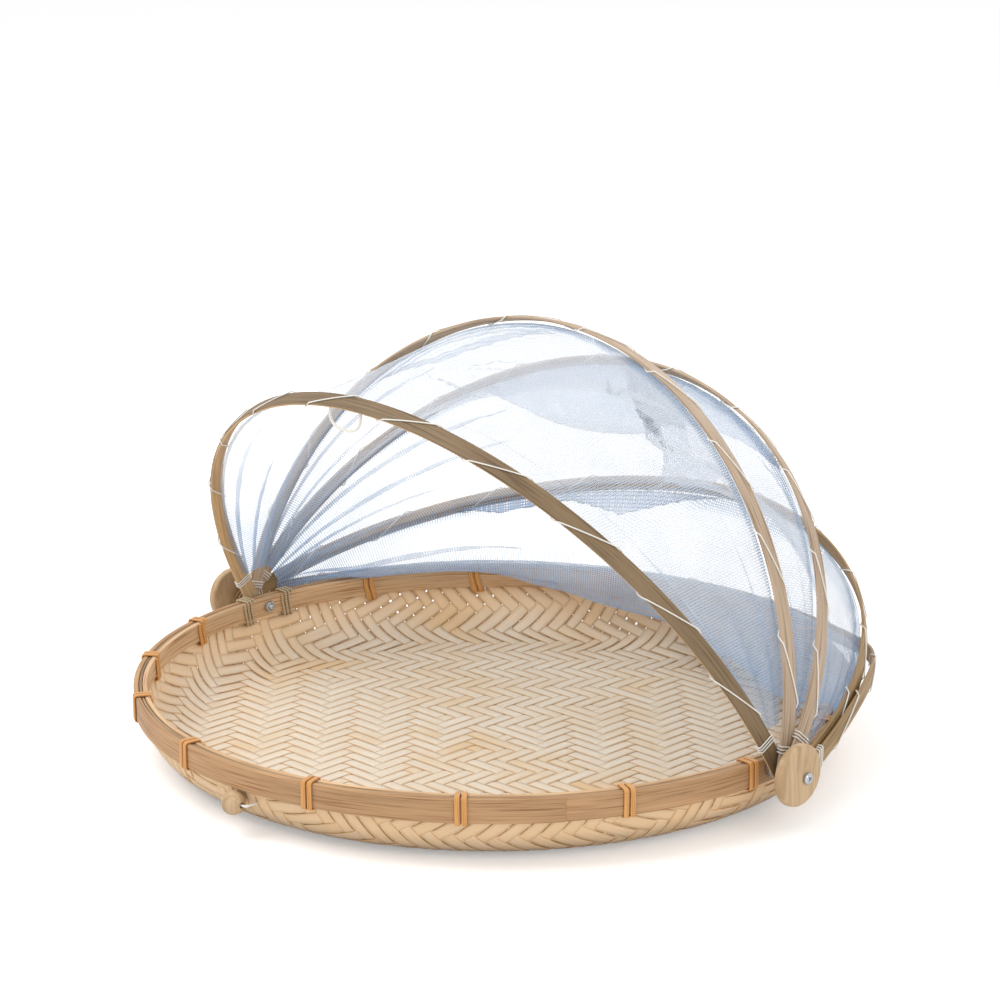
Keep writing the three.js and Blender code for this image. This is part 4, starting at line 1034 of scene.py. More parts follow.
def twill_tree():
    """Splints that run one way, woven over three and under three in diamonds, bent up into the wall."""
    tree, given = new_tree(
        "Woven Twill",
        Pitch="Float",
        Width="Float",
        Lift="Float",
        Reach="Float",
        Centre="Vector",
        Turned="Bool",
        Seed="Int",
        Material="Material",
    )
    pitch = given["Pitch"]
    # how many splints there are on each side of the middle one
    room = add_node(tree, "ShaderNodeMath", {0: given["Reach"], 1: pitch}, operation="DIVIDE")
    half = add_node(tree, "ShaderNodeMath", {0: room[0], 1: 1.5}, operation="ADD")
    half = add_node(tree, "ShaderNodeMath", {0: half[0]}, operation="CEIL")
    splints = add_node(tree, "ShaderNodeMath", {0: half[0], 1: 2.0, 2: 1.0}, operation="MULTIPLY_ADD")
    stations = add_node(tree, "ShaderNodeMath", {0: half[0], 1: 4.0}, operation="MULTIPLY")
    spaces = add_node(tree, "ShaderNodeMath", {0: half[0], 1: 2.0, 2: -0.5}, operation="MULTIPLY_ADD")
    length = add_node(tree, "ShaderNodeMath", {0: spaces[0], 1: pitch}, operation="MULTIPLY")
    strip = add_node(
        tree,
        "GeometryNodeMeshGrid",
        {"Size X": length[0], "Size Y": given["Width"], "Vertices X": stations[0], "Vertices Y": 4},
    )
    # one point for each splint, which keeps its number and its tone
    index = add_node(tree, "GeometryNodeInputIndex")
    number = add_node(tree, "ShaderNodeMath", {0: index[0], 1: half[0]}, operation="SUBTRACT")
    aside = add_node(tree, "ShaderNodeMath", {0: number[0], 1: pitch}, operation="MULTIPLY")
    spot = add_node(tree, "ShaderNodeCombineXYZ", {1: aside[0]})
    points = add_node(tree, "GeometryNodePoints", {"Count": splints[0], "Position": spot[0]})
    numbered = add_node(
        tree, "GeometryNodeStoreNamedAttribute",
        {"Geometry": points[0], "Name": "number", "Value": number[0]}, data_type="FLOAT", domain="POINT",
    )
    tone = add_node(tree, "FunctionNodeRandomValue", {"Seed": given["Seed"]}, data_type="FLOAT")
    toned = add_node(
        tree, "GeometryNodeStoreNamedAttribute",
        {"Geometry": numbered[0], "Name": "tone", "Value": tone[1]}, data_type="FLOAT", domain="POINT",
    )
    laid = add_node(tree, "GeometryNodeInstanceOnPoints", {"Points": toned[0], "Instance": strip[0]})
    flat = add_node(tree, "GeometryNodeRealizeInstances", {0: laid[0]})
    # each point's place in its splint: along, across and the crossing it belongs to
    place = add_node(tree, "GeometryNodeInputPosition")
    parts = add_node(tree, "ShaderNodeSeparateXYZ", {0: place[0]})
    own = add_node(tree, "GeometryNodeInputNamedAttribute", {"Name": "number"}, data_type="FLOAT")
    middle = add_node(tree, "ShaderNodeMath", {0: own[0], 1: pitch}, operation="MULTIPLY")
    across = add_node(tree, "ShaderNodeMath", {0: parts[1], 1: middle[0]}, operation="SUBTRACT")
    share = add_node(tree, "ShaderNodeMath", {0: across[0], 1: given["Width"]}, operation="DIVIDE")
    crossing = add_node(tree, "ShaderNodeMath", {0: parts[0], 1: pitch}, operation="DIVIDE")
    crossing = add_node(tree, "ShaderNodeMath", {0: crossing[0]}, operation="ROUND")
    mine = add_node(tree, "ShaderNodeMath", {0: own[0]}, operation="ABSOLUTE")
    other = add_node(tree, "ShaderNodeMath", {0: crossing[0]}, operation="ABSOLUTE")
    ring = add_node(tree, "ShaderNodeMath", {0: mine[0], 1: other[0]}, operation="ADD")
    ring = add_node(tree, "ShaderNodeMath", {0: ring[0], 1: 2.0}, operation="ADD")
    step = add_node(tree, "ShaderNodeMath", {0: ring[0], 1: 6.0}, operation="MODULO")
    rule = add_node(
        tree, "FunctionNodeCompare", {0: step[0], 1: 2.5}, operation="LESS_THAN", data_type="FLOAT"
    )
    over = add_node(tree, "FunctionNodeBooleanMath", {0: rule[0], 1: given["Turned"]}, operation="XNOR")
    # keep what the pattern and the material need before the points move
    share_up = add_node(tree, "ShaderNodeMath", {0: share[0], 1: 0.5}, operation="ADD")
    strip_place = add_node(tree, "ShaderNodeCombineXYZ", {0: share_up[0], 1: parts[0]})
    mapped = add_node(
        tree, "GeometryNodeStoreNamedAttribute",
        {"Geometry": flat[0], "Name": "UVMap", "Value": strip_place[0]}, data_type="FLOAT2",
        domain="CORNER",
    )
    marked = add_node(
        tree, "GeometryNodeStoreNamedAttribute", {"Geometry": mapped[0], "Name": "over", "Value": over[0]},
        data_type="FLOAT", domain="POINT",
    )
    # small unevenness of hand-split splints
    wobble_place = add_node(tree, "ShaderNodeCombineXYZ", {0: own[0], 1: parts[0], 2: given["Seed"]})
    wobble_scaled = add_node(
        tree, "ShaderNodeVectorMath", {0: wobble_place[0], 1: (3.7, 22.0, 1.3)}, operation="MULTIPLY"
    )
    wobble = add_node(tree, "ShaderNodeTexNoise", {"Vector": wobble_scaled[0], "Scale": 1.0, "Detail": 1.0})
    narrow = add_node(
        tree, "ShaderNodeMapRange",
        {"Value": wobble[0], "From Min": 0.3, "From Max": 0.7, "To Min": -0.05, "To Max": 0.03},
    )
    # where the mat bends up into the wall some splints draw in and leave pinholes
    run = add_node(tree, "ShaderNodeVectorMath", {0: place[0]}, operation="LENGTH")
    bend = add_node(
        tree, "ShaderNodeMapRange",
        {"Value": run["Value"], "From Min": SPLINT_BEND[0], "From Max": SPLINT_BEND[1]},
    )
    drawn = add_node(
        tree, "ShaderNodeMapRange", {"Value": wobble[0], "From Min": 0.5, "From Max": 0.62, "To Max": 0.2}
    )
    loose = add_node(tree, "ShaderNodeMath", {0: bend[0], 1: drawn[0]}, operation="MULTIPLY")
    narrow = add_node(tree, "ShaderNodeMath", {0: narrow[0], 1: loose[0]}, operation="SUBTRACT")
    extra = add_node(tree, "ShaderNodeMath", {0: across[0], 1: narrow[0]}, operation="MULTIPLY")
    wide = add_node(tree, "ShaderNodeMath", {0: parts[1], 1: extra[0]}, operation="ADD")
    # where it lies in the flat mat
    straight = add_node(tree, "ShaderNodeCombineXYZ", {0: parts[0], 1: wide[0]})
    back = add_node(tree, "ShaderNodeMath", {0: wide[0], 1: -1.0}, operation="MULTIPLY")
    quarter = add_node(tree, "ShaderNodeCombineXYZ", {0: back[0], 1: parts[0]})
    chosen = add_node(
        tree, "GeometryNodeSwitch", {"Switch": given["Turned"], "False": straight[0], "True": quarter[0]},
        input_type="VECTOR",
    )
    mat = add_node(tree, "ShaderNodeVectorMath", {0: chosen[0], 1: given["Centre"]}, operation="ADD")
    distance = add_node(tree, "ShaderNodeVectorMath", {0: mat[0]}, operation="LENGTH")
    outside = add_node(
        tree, "FunctionNodeCompare", {0: distance["Value"], 1: given["Reach"]}, operation="GREATER_THAN",
        data_type="FLOAT",
    )
    round_mat = add_node(
        tree, "GeometryNodeDeleteGeometry", {"Geometry": marked[0], "Selection": outside[0]}, domain="POINT"
    )
    # bend the mat along the profile: its distance from the centre is a length along it
    line = add_node(tree, "GeometryNodeMeshToCurve", {"Mesh": given["Geometry"]})
    spot = add_node(
        tree, "GeometryNodeSampleCurve", {"Curves": line[0], "Length": distance["Value"]}, mode="LENGTH",
        data_type="FLOAT", use_all_curves=True,
    )
    at = add_node(tree, "ShaderNodeSeparateXYZ", {0: spot["Position"]})
    slope = add_node(tree, "ShaderNodeSeparateXYZ", {0: spot["Tangent"]})
    sign = add_node(tree, "ShaderNodeMapRange", {"Value": over[0], "To Min": -1.0})
    level = add_node(tree, "ShaderNodeMath", {0: sign[0], 1: given["Lift"]}, operation="MULTIPLY")
    squared = add_node(tree, "ShaderNodeMath", {0: share[0], 1: share[0]}, operation="MULTIPLY")
    crown = add_node(tree, "ShaderNodeMath", {0: squared[0], 1: -4 * SPLINT_CROWN}, operation="MULTIPLY")
    level = add_node(tree, "ShaderNodeMath", {0: level[0], 1: crown[0]}, operation="ADD")
    inward = add_node(tree, "ShaderNodeMath", {0: slope[2], 1: level[0]}, operation="MULTIPLY")
    radius = add_node(tree, "ShaderNodeMath", {0: at[0], 1: inward[0]}, operation="SUBTRACT")
    upward = add_node(tree, "ShaderNodeMath", {0: slope[0], 1: level[0]}, operation="MULTIPLY")
    height = add_node(tree, "ShaderNodeMath", {0: at[2], 1: upward[0]}, operation="ADD")
    heading = add_node(tree, "ShaderNodeVectorMath", {0: mat[0]}, operation="NORMALIZE")
    ground = add_node(tree, "ShaderNodeVectorMath", {0: heading[0], "Scale": radius[0]}, operation="SCALE")
    rise = add_node(tree, "ShaderNodeCombineXYZ", {2: height[0]})
    final = add_node(tree, "ShaderNodeVectorMath", {0: ground[0], 1: rise[0]}, operation="ADD")
    bent = add_node(tree, "GeometryNodeSetPosition", {"Geometry": round_mat[0], "Position": final[0]})
    smooth = add_node(tree, "GeometryNodeSetShadeSmooth", {"Geometry": bent[0]})
    end_tree(tree, smooth[0], given["Material"])
    return tree


def wraps_tree():
    """One wrap repeated at marked places round the rim, each tipped a little its own way."""
    tree, given = new_tree("Rim Wraps", Tilt="Float", Seed="Int", Material="Material")
    is_place = add_node(tree, "GeometryNodeInputNamedAttribute", {"Name": "is_place"}, data_type="BOOLEAN")
    parted = add_node(
        tree, "GeometryNodeSeparateGeometry", {"Geometry": given["Geometry"], "Selection": is_place[0]},
        domain="POINT",
    )
    points = add_node(tree, "GeometryNodeMeshToPoints", {"Mesh": parted[0]})
    angle = add_node(tree, "GeometryNodeInputNamedAttribute", {"Name": "angle"}, data_type="FLOAT")
    least = add_node(tree, "ShaderNodeMath", {0: given["Tilt"], 1: -1.0}, operation="MULTIPLY")
    tip = add_node(
        tree, "FunctionNodeRandomValue", {2: least[0], 3: given["Tilt"], "Seed": given["Seed"]},
        data_type="FLOAT",
    )
    turn = add_node(tree, "ShaderNodeCombineXYZ", {0: tip[1], 2: angle[0]})
    heading = add_node(tree, "FunctionNodeEulerToRotation", {0: turn[0]})
    laid = add_node(
        tree, "GeometryNodeInstanceOnPoints",
        {"Points": points[0], "Instance": parted[1], "Rotation": heading[0]},
    )
    end_tree(tree, laid[0], given["Material"])
    return tree


def thread_tree():
    """A round thread of even thickness along a line of edges."""
    tree, given = new_tree("Thread", Thickness="Float", Step="Float", Material="Material")
    line = add_node(tree, "GeometryNodeMeshToCurve", {"Mesh": given["Geometry"]})
    even = add_node(
        tree, "GeometryNodeResampleCurve", {"Curve": line[0], "Length": given["Step"]}, mode="LENGTH"
    )
    along = add_node(tree, "GeometryNodeSplineParameter")
    measured = add_node(
        tree, "GeometryNodeStoreNamedAttribute",
        {"Geometry": even[0], "Name": "along", "Value": along["Length"]}, data_type="FLOAT", domain="POINT",
    )
    radius = add_node(tree, "ShaderNodeMath", {0: given["Thickness"], 1: 0.5}, operation="MULTIPLY")
    ring = add_node(
        tree, "GeometryNodeCurvePrimitiveCircle", {"Resolution": 6, "Radius": radius[0]}, mode="RADIUS"
    )
    tube = add_node(
        tree, "GeometryNodeCurveToMesh", {"Curve": measured[0], "Profile Curve": ring[0], "Fill Caps": True}
    )
    length = add_node(tree, "GeometryNodeInputNamedAttribute", {"Name": "along"}, data_type="FLOAT")
    mark = add_node(tree, "ShaderNodeCombineXYZ", {1: length[0]})
    mapped = add_node(
        tree, "GeometryNodeStoreNamedAttribute", {"Geometry": tube[0], "Name": "UVMap", "Value": mark[0]},
        data_type="FLOAT2", domain="CORNER",
    )
    smooth = add_node(tree, "GeometryNodeSetShadeSmooth", {"Geometry": mapped[0]})
    end_tree(tree, smooth[0], given["Material"])
    return tree


# Operators, one for each piece or group of like pieces


class AddStage(bpy.types.Operator):
    """Add the camera, the lamps, the floor and the white room"""

    bl_idname = "net_tray.add_stage"
    bl_label = "Camera, Light and Floor"

    def execute(self, context):
        scene, sizes = context.scene, context.scene.net_tray.stage
        azimuth, elevation, roll = map(math.radians, (CAMERA_AZIMUTH, CAMERA_ELEVATION, CAMERA_ROLL))
        back = Vector(
            (
                math.sin(azimuth) * math.cos(elevation),
                -math.cos(azimuth) * math.cos(elevation),
                math.sin(elevation),
            )
        )
        level = Vector((math.cos(azimuth), math.sin(azimuth), 0))
        upright = back.cross(level)
        right = level * math.cos(roll) + upright * math.sin(roll)
        up = back.cross(right)
        centre = right * CAMERA_CENTRE[0] + up * CAMERA_CENTRE[1]
        data = bpy.data.cameras.new("camera")
        data.lens = CAMERA_LENS
        data.sensor_width = SENSOR_WIDTH
        data.clip_start = 0.05
        camera = bpy.data.objects.new("camera", data)
        turn = Matrix((right, up, back)).transposed()
        camera.matrix_world = Matrix.Translation(centre + back * CAMERA_DISTANCE) @ turn.to_4x4()
        scene.collection.objects.link(camera)
        scene.camera = camera
        scene.view_settings.view_transform = "Standard"

        for name, place, target, size, share in (
            ("key", (-0.5, -0.7, 1.5), (0, 0, 0.05), 1.4, 1.0),
            ("side", (1.5, -0.4, 0.8), (0, 0, 0.08), 1.0, 0.35),
            ("rear", (-0.4, 1.5, 0.9), (0, 0, 0.1), 1.0, 0.4),
        ):
            lamp = bpy.data.lights.new(name, "AREA")
            lamp.shape, lamp.size, lamp.energy = "DISK", size, sizes.key_power * share
            holder = bpy.data.objects.new(name, lamp)
            holder.location = place
            aim = Vector(target) - Vector(place)
            holder.rotation_euler = aim.to_track_quat("-Z", "Y").to_euler()
            scene.collection.objects.link(holder)

        world = bpy.data.worlds.new("white_room")
        scene.world = world
        world.use_nodes = True
        tree = world.node_tree
        path = add_node(tree, "ShaderNodeLightPath")
        seen = add_node(
            tree, "ShaderNodeMath", {0: path["Is Camera Ray"], 1: path["Is Glossy Ray"]},
            operation="MAXIMUM",
        )
        seen = add_node(
            tree, "ShaderNodeMath", {0: seen[0], 1: path["Is Transmission Ray"]}, operation="MAXIMUM"
        )
        strength = add_node(
            tree, "ShaderNodeMapRange", {"Value": seen[0], "To Min": sizes.world_strength}
        )
        set_sockets(tree, tree.nodes["Background"], {"Color": (1, 1, 1, 1), "Strength": strength[0]})

        reach = (-FLOOR_REACH, FLOOR_REACH)
        floor = grid_piece(
            "floor",
            np.array([[(x, y, -FLOOR_DROP) for x in reach] for y in reach]),
            (0, 2 * FLOOR_REACH),
            (0, 2 * FLOOR_REACH),
            ring=False,
        )
        material, tree, shader = new_material("paper_backdrop_matt")
        path = add_node(tree, "ShaderNodeLightPath")
        lit = add_node(tree, "ShaderNodeBsdfDiffuse", {"Color": sizes.floor_colour})
        glow = add_node(tree, "ShaderNodeEmission", {"Color": (1, 1, 1, 1), "Strength": FLOOR_GLOW})
        both = add_node(tree, "ShaderNodeAddShader", {0: lit[0], 1: glow[0]})
        shown = add_node(tree, "ShaderNodeMixShader", {0: path["Is Camera Ray"], 1: lit[0], 2: both[0]})
        tree.nodes.remove(shader)
        set_sockets(tree, tree.nodes["Material Output"], {"Surface": shown[0]})
        floor.data.materials.append(material)
        return {"FINISHED"}


class AddPullLoop(bpy.types.Operator):
    """Add the elastic loop under the front hoop's crest"""

    bl_idname = "net_tray.add_pull_loop"
    bl_label = "Pull Loop"

    def execute(self, context):
        sizes = context.scene.net_tray.canopy
        route = np.array(PULL_ROUTE)
        path = smooth_line(route, 64)
        ahead = np.gradient(path, axis=0)
        ahead /= np.linalg.norm(ahead, axis=1)[:, None]
        side = np.tile([0.0, 1.0, 0.0], (len(path), 1))
        loop = swept(
            "pull_loop_cord", path, side, np.cross(ahead, side), round_section(PULL_CORD / 2, 12)
        )
        cord = twisted_yarn("elastic_braided", sizes.thread_colour, linear("#d9d6cf"), 0.9 * MM)
        dress(loop, cord, "hoop_1_frame", "elastic_cord", "pull_loop")
        return {"FINISHED"}


def smooth_line(points, count):
    """A smooth line of even steps through points."""
    padded = np.concatenate([[2 * points[0] - points[1]], points, [2 * points[-1] - points[-2]]])
    line = []
    for k in range(len(points) - 1):
        line += [curve_point(*padded[k : k + 4], share) for share in np.arange(20) / 20]
    line = np.array(line + [points[-1]])
    lengths = lengths_along(line)
    even = np.linspace(0, lengths[-1], count)
    return np.stack([np.interp(even, lengths, line[:, axis]) for axis in range(3)], axis=1)


class AddWeave(bpy.types.Operator):
    """Add the tray's splints, woven in a broken twill and bent up into the wall"""

    bl_idname = "net_tray.add_weave"
    bl_label = "Woven Base"

    def execute(self, context):
        sizes = context.scene.net_tray.tray
        material = woven_splint_bamboo(sizes)
        tree = twill_tree()
        profile = weave_profile()
        reach = float(lengths_along(profile)[-1])
        for name, is_turned in (("woven_splints_across", False), ("woven_splints_forward", True)):
            line = [(radius, 0, height) for radius, height in profile]
            piece = line_piece(name, line)
            grow(
                piece,
                tree,
                {
                    "Pitch": sizes.splint_pitch,
                    "Width": sizes.splint_width,
                    "Lift": sizes.splint_lift,
                    "Reach": reach,
                    "Centre": sizes.weave_centre,
                    "Turned": is_turned,
                    "Seed": sizes.seed + is_turned,
                    "Material": material,
                },
            )
            body = piece.modifiers.new("Body", "SOLIDIFY")
            body.thickness = sizes.splint_thickness
            body.offset = 0
            dress(piece, None, "tray", "woven_bamboo", "woven_base")
        return {"FINISHED"}


def bent_band(name, inner, wall, bottom, height, scarf, round_edge):
    """A band bent once round the rim, its two thinned ends lapped as a scarf."""
    end = 360 + SCARF_SWEEP
    travel = np.linspace(0, end, BAND_STEPS)
    gap = CLEARANCE / wall
    lap_in = np.clip(travel / SCARF_SWEEP, 0, 1)
    lap_out = np.clip((end - travel) / SCARF_SWEEP, 0, 1)
    top = np.where(travel < SCARF_SWEEP, lap_in * (1 - 2 * gap) + gap / 2, 1)
    foot = np.where(travel > 360, (1 - lap_out) * (1 - 2 * gap) + 1.5 * gap, 0)
    turn = np.radians(scarf + travel)
    radial = np.stack([np.cos(turn), np.sin(turn), 0 * turn], axis=1)
    middle = inner + wall * (top + foot) / 2
    centres = radial * middle[:, None] + np.array([0, 0, bottom + height / 2])
    upright = np.tile([0.0, 0.0, 1.0], (len(turn), 1))
    section = rounded_section(wall, height, round_edge, 4)
    return swept(name, centres, radial, upright, section, widths=top - foot)


class AddRimBands(bpy.types.Operator):
    """Add the two bamboo bands of the rim and the splint between them"""

    bl_idname = "net_tray.add_rim_bands"
    bl_label = "Rim Bands"

    def execute(self, context):
        sizes = context.scene.net_tray.tray
        outer = bent_band(
            "rim_band_outside",
            OUTER_BAND_INNER,
            OUTER_BAND_WALL,
            OUTER_BAND_BOTTOM,
            OUTER_BAND_HEIGHT,
            OUTER_SCARF_ANGLE,
            OUTER_BAND_EDGE,
        )
        skin = split_bamboo(
            "bamboo_band_planed", sizes.band_light, sizes.band_colour, sizes.band_dark, streak=0.8 * MM
        )
        cut_away(outer, *both_bolt_holes())
        dress(outer, skin, "tray", "rim_bamboo", "rim_outer_band")
        inner = bent_band(
            "rim_band_inside",
            INNER_BAND_INNER,
            INNER_BAND_WALL,
            INNER_BAND_BOTTOM,
            INNER_BAND_HEIGHT,
            INNER_SCARF_ANGLE,
            INNER_BAND_EDGE,
        )
        heart = split_bamboo(
            "bamboo_band_heartwood", linear("#e0bd92"), sizes.inner_colour, linear("#9c7044"),
            streak=0.9 * MM, seed=3.0,
        )
        cut_away(inner, *both_bolt_holes())
        dress(inner, heart, "tray", "inner_bamboo", "rim_inner_band")
        turn = np.linspace(0, 2 * math.pi, 257)[:-1]
        radial = np.stack([np.cos(turn), np.sin(turn), 0 * turn], axis=1)
        bottom = WEAVE_TOP + CLEARANCE
        top = TRAY_HEIGHT - FILLER_DROP
        middle = np.array([0, 0, (bottom + top) / 2])
        filler = swept(
            "rim_filler",
            radial * (WALL_INNER + WALL_RADIUS) / 2 + middle,
            radial,
            np.tile([0.0, 0.0, 1.0], (len(turn), 1)),
            rounded_section(WEAVE_WALL, top - bottom, FILLER_EDGE),
            loop=True,
        )
        pale = split_bamboo(
            "bamboo_filler_split", linear("#b59a78"), linear("#957a58"), linear("#6d5436"), streak=0.7 * MM,
            seed=5.0,
        )
        dress(filler, pale, "tray", "woven_bamboo", "rim_filler_splint")
        return {"FINISHED"}


def rim_wrap(name, turns, pitch, width, thickness, places):
    """One strand wound round the rim's section, and a loose point for each place it is laid."""
    reach = CLEARANCE + thickness / 2
    low, high = OUTER_BAND_BOTTOM - reach, TRAY_HEIGHT + reach
    inside, outside = INNER_BAND_INNER - reach, RIM_RADIUS + reach
    ring = []
    corners = ((inside, high), (outside, high), (outside, low), (inside, low))
    for turn, (radius, height) in enumerate(corners):
        side = 1 if radius == outside else -1
        level = 1 if height == high else -1
        centre = (radius - side * WRAP_EDGE, height - level * WRAP_EDGE)
        for step in range(5):
            angle = math.pi - math.pi / 2 * (turn + step / 4)
            ring.append((centre[0] + WRAP_EDGE * math.cos(angle), centre[1] + WRAP_EDGE * math.sin(angle)))
    closed = np.array([*ring, ring[0]])
    spaced = lengths_along(closed)
    even = np.linspace(0, spaced[-1], WRAP_POINTS + 1)[:-1]
    ring = np.stack([np.interp(even, spaced, closed[:, axis]) for axis in (0, 1)], axis=1)
    count = turns * len(ring) + 1
    share = np.arange(count) / len(ring)
    # each turn goes round straight and shifts to the next one underneath
    step = np.floor(share) + np.clip((share % 1 - WRAP_SHIFT_START) / WRAP_SHIFT_LENGTH, 0, 1)
    along = pitch * (step - turns / 2)
    rounds = ring[np.arange(count) % len(ring)]
    sagitta = rounds[:, 0] - np.sqrt(rounds[:, 0] ** 2 - along**2)
    centres = np.stack([rounds[:, 0] - sagitta, along, rounds[:, 1]], axis=1)
    ahead = np.gradient(centres, axis=0)
    ahead /= np.linalg.norm(ahead, axis=1)[:, None]
    side = np.tile([0.0, 1.0, 0.0], (count, 1))
    side -= ahead * np.sum(ahead * side, axis=1)[:, None]
    side /= np.linalg.norm(side, axis=1)[:, None]
    section = rounded_section(width, thickness, thickness * 0.45)
    piece = swept(name, centres, side, np.cross(ahead, side), section)
    mesh = piece.data
    first = len(mesh.vertices)
    mesh.vertices.add(len(places))
    angles = np.zeros(first + len(places), np.float32)
    angles[first:] = np.radians(places)
    mesh.attributes.new("angle", "FLOAT", "POINT").data.foreach_set("value", angles)
    marks = np.zeros(first + len(places), bool)
    marks[first:] = True
    mesh.attributes.new("is_place", "BOOLEAN", "POINT").data.foreach_set("value", marks)
    return piece


class AddTies(bpy.types.Operator):
    """Add the rattan ties and the cord lashings round the rim"""

    bl_idname = "net_tray.add_ties"
    bl_label = "Ties and Lashings"

    def execute(self, context):
        sizes = context.scene.net_tray.tray
        tree = wraps_tree()
        ties = rim_wrap("rattan_ties", TIE_TURNS, TIE_PITCH, sizes.tie_width, TIE_THICKNESS, TIE_ANGLES)
        peel = split_rattan(sizes)
        grow(ties, tree, {"Tilt": math.radians(TIE_TILT), "Seed": sizes.seed, "Material": peel})
        names = [f"rattan_tie_{number:02d}" for number in range(1, len(TIE_ANGLES) + 1)]
        dress(ties, None, "tray", "rattan", *names)
        lashings = rim_wrap(
            "cord_lashings", LASHING_TURNS, LASHING_PITCH, LASHING_WIDTH, LASHING_THICKNESS,
            list(LASHING_ANGLES.values()),
        )
        cord = twisted_yarn("cotton_cord_tan", sizes.cord_colour, linear("#9c8560"), 1.2 * MM)
        grow(lashings, tree, {"Tilt": math.radians(LASHING_TILT), "Seed": sizes.seed, "Material": cord})
        names = [f"pivot_lashing_{name}" for name in LASHING_ANGLES]
        dress(lashings, None, "tray", "tan_cord", *names)
        return {"FINISHED"}


class AddPivots(bpy.types.Operator):
    """Add the screws, nuts, spacers and wooden discs on both sides"""

    bl_idname = "net_tray.add_pivots"
    bl_label = "Pivots"

    def execute(self, context):
        sizes = context.scene.net_tray.canopy
        zinc, beech = zinc_steel(sizes), turned_beech(sizes)
        for side, word in ((1, "right"), (-1, "left")):
            axis = (side, 0, 0)
            bolt = (0, 0, PIVOT_HEIGHT)
            self.screw(word, side, bolt, axis, zinc)
            self.nut(word, side, zinc)
            washer = turned(
                f"{word}_washer",
                ring_profile(SPACER_START, SPACER_THICKNESS, WASHER_RADIUS, WASHER_EDGE),
                bolt,
                axis,
            )
            cut_away(washer, bolt_hole(*(side * place for place in WASHER_HOLE)))
            dress(washer, zinc, "tray", "zinc_steel", f"{word}_pivot_spacer")
            disc = turned(
                f"{word}_disc",
                ring_profile(DISC_START, DISC_THICKNESS, DISC_RADIUS, DISC_EDGE),
                (0, -DISC_OFFSET, PIVOT_HEIGHT + DISC_LIFT),
                axis,
                96,
            )
            cut_away(disc, bolt_hole(*(side * place for place in DISC_HOLE)))
            dress(disc, beech, "tray", "turned_wood", f"{word}_wooden_disc")
        return {"FINISHED"}

    def screw(self, word, side, bolt, axis, zinc):
        """A pan head with a cross recess on a threaded shank."""
        start, high = SCREW_HEAD_START, SCREW_HEAD_HEIGHT
        thread_end = NUT_START + NUT_THICKNESS
        shank = np.arange(SCREW_END + SCREW_CHAMFER, thread_end, SCREW_PITCH / 4)
        profile = [(SCREW_END, SCREW_RADIUS * 0.75)]
        profile += [(distance, SCREW_RADIUS) for distance in shank]
        profile += [(thread_end + SCREW_RUNOUT, SCREW_RADIUS), (start, SCREW_RADIUS)]
        profile += [(start, SCREW_HEAD_RADIUS * 0.97), (start + 0.1 * high, SCREW_HEAD_RADIUS)]
        for share in np.linspace(0, 1, 8):
            angle = share * math.pi / 2
            level = high * (0.45 + 0.55 * math.sin(angle))
            profile.append((start + level, SCREW_HEAD_RADIUS * (0.35 + 0.65 * math.cos(angle))))
        piece = turned(f"{word}_screw", profile, bolt, axis, 48, thread=(SCREW_END, thread_end))
        tools = []
        for quarter in (0, 90):
            angle = math.radians(RECESS_ANGLE + quarter)
            along = np.array([0, math.cos(angle), math.sin(angle)])
            beside = np.array([0, -math.sin(angle), math.cos(angle)])
            rows = []
            for level, (long, wide) in ((-RECESS_DEPTH, RECESS_FOOT), (MM, RECESS_MOUTH)):
                place = np.array([side * (start + high + level), 0, PIVOT_HEIGHT])
                corners = ((-1, -1), (1, -1), (1, 1), (-1, 1))
                rows.append([place + along * long * a + beside * wide * b for a, b in corners])
            tool = grid_piece("tool", np.array(rows), (0, MM), np.arange(5) * MM, caps=True)
            tools.append(close_and_smooth(tool))
        cut_away(piece, *tools)
        dress(piece, zinc, "tray", "zinc_steel", f"{word}_pivot_screw")

    def nut(self, word, side, zinc):
        """A hexagon nut with chamfered corners."""
        turns = np.arange(NUT_STEPS) * 2 * math.pi / NUT_STEPS
        flat = NUT_ACROSS_FLATS / 2
        corner = (turns % (math.pi / 3)) - math.pi / 6
        hexagon = flat / np.cos(corner)
        fall = (hexagon - flat) * math.tan(math.radians(NUT_CHAMFER))
        bore, face = np.full(NUT_STEPS, BORE_RADIUS), np.full(NUT_STEPS, flat * 0.97)
        low, high = np.zeros(NUT_STEPS), np.full(NUT_STEPS, NUT_THICKNESS)
        rows = []
        for radii, distances in (
            (bore, low),
            (face, low),
            (hexagon, fall + NUT_LAND),
            (hexagon, high - fall - NUT_LAND),
            (face, high),
            (bore, high),
        ):
            x = side * (NUT_START + distances)
            rows.append(np.stack([x, radii * np.cos(turns), PIVOT_HEIGHT + radii * np.sin(turns)], axis=1))
        around = np.linspace(0, 2 * math.pi * flat, NUT_STEPS + 1)
        piece = grid_piece(f"{word}_nut", np.array(rows), np.arange(7) * MM, around, loop=True)
        dress(close_and_smooth(piece, 25), zinc, "tray", "zinc_steel", f"{word}_pivot_nut")


def ring_profile(start, thickness, radius, round_edge):
    """A flat round plate's profile with rounded edges, for turning."""
    profile = [(start, radius * 0.02), (start, radius * 0.5), (start, radius - round_edge)]
    for share in np.linspace(0, 1, 6)[1:]:
        angle = share * math.pi / 2
        profile.append(
            (start + round_edge * (1 - math.cos(angle)), radius - round_edge * (1 - math.sin(angle)))
        )
    mirrored = [(2 * start + thickness - distance, at) for distance, at in reversed(profile)]
    return profile + mirrored


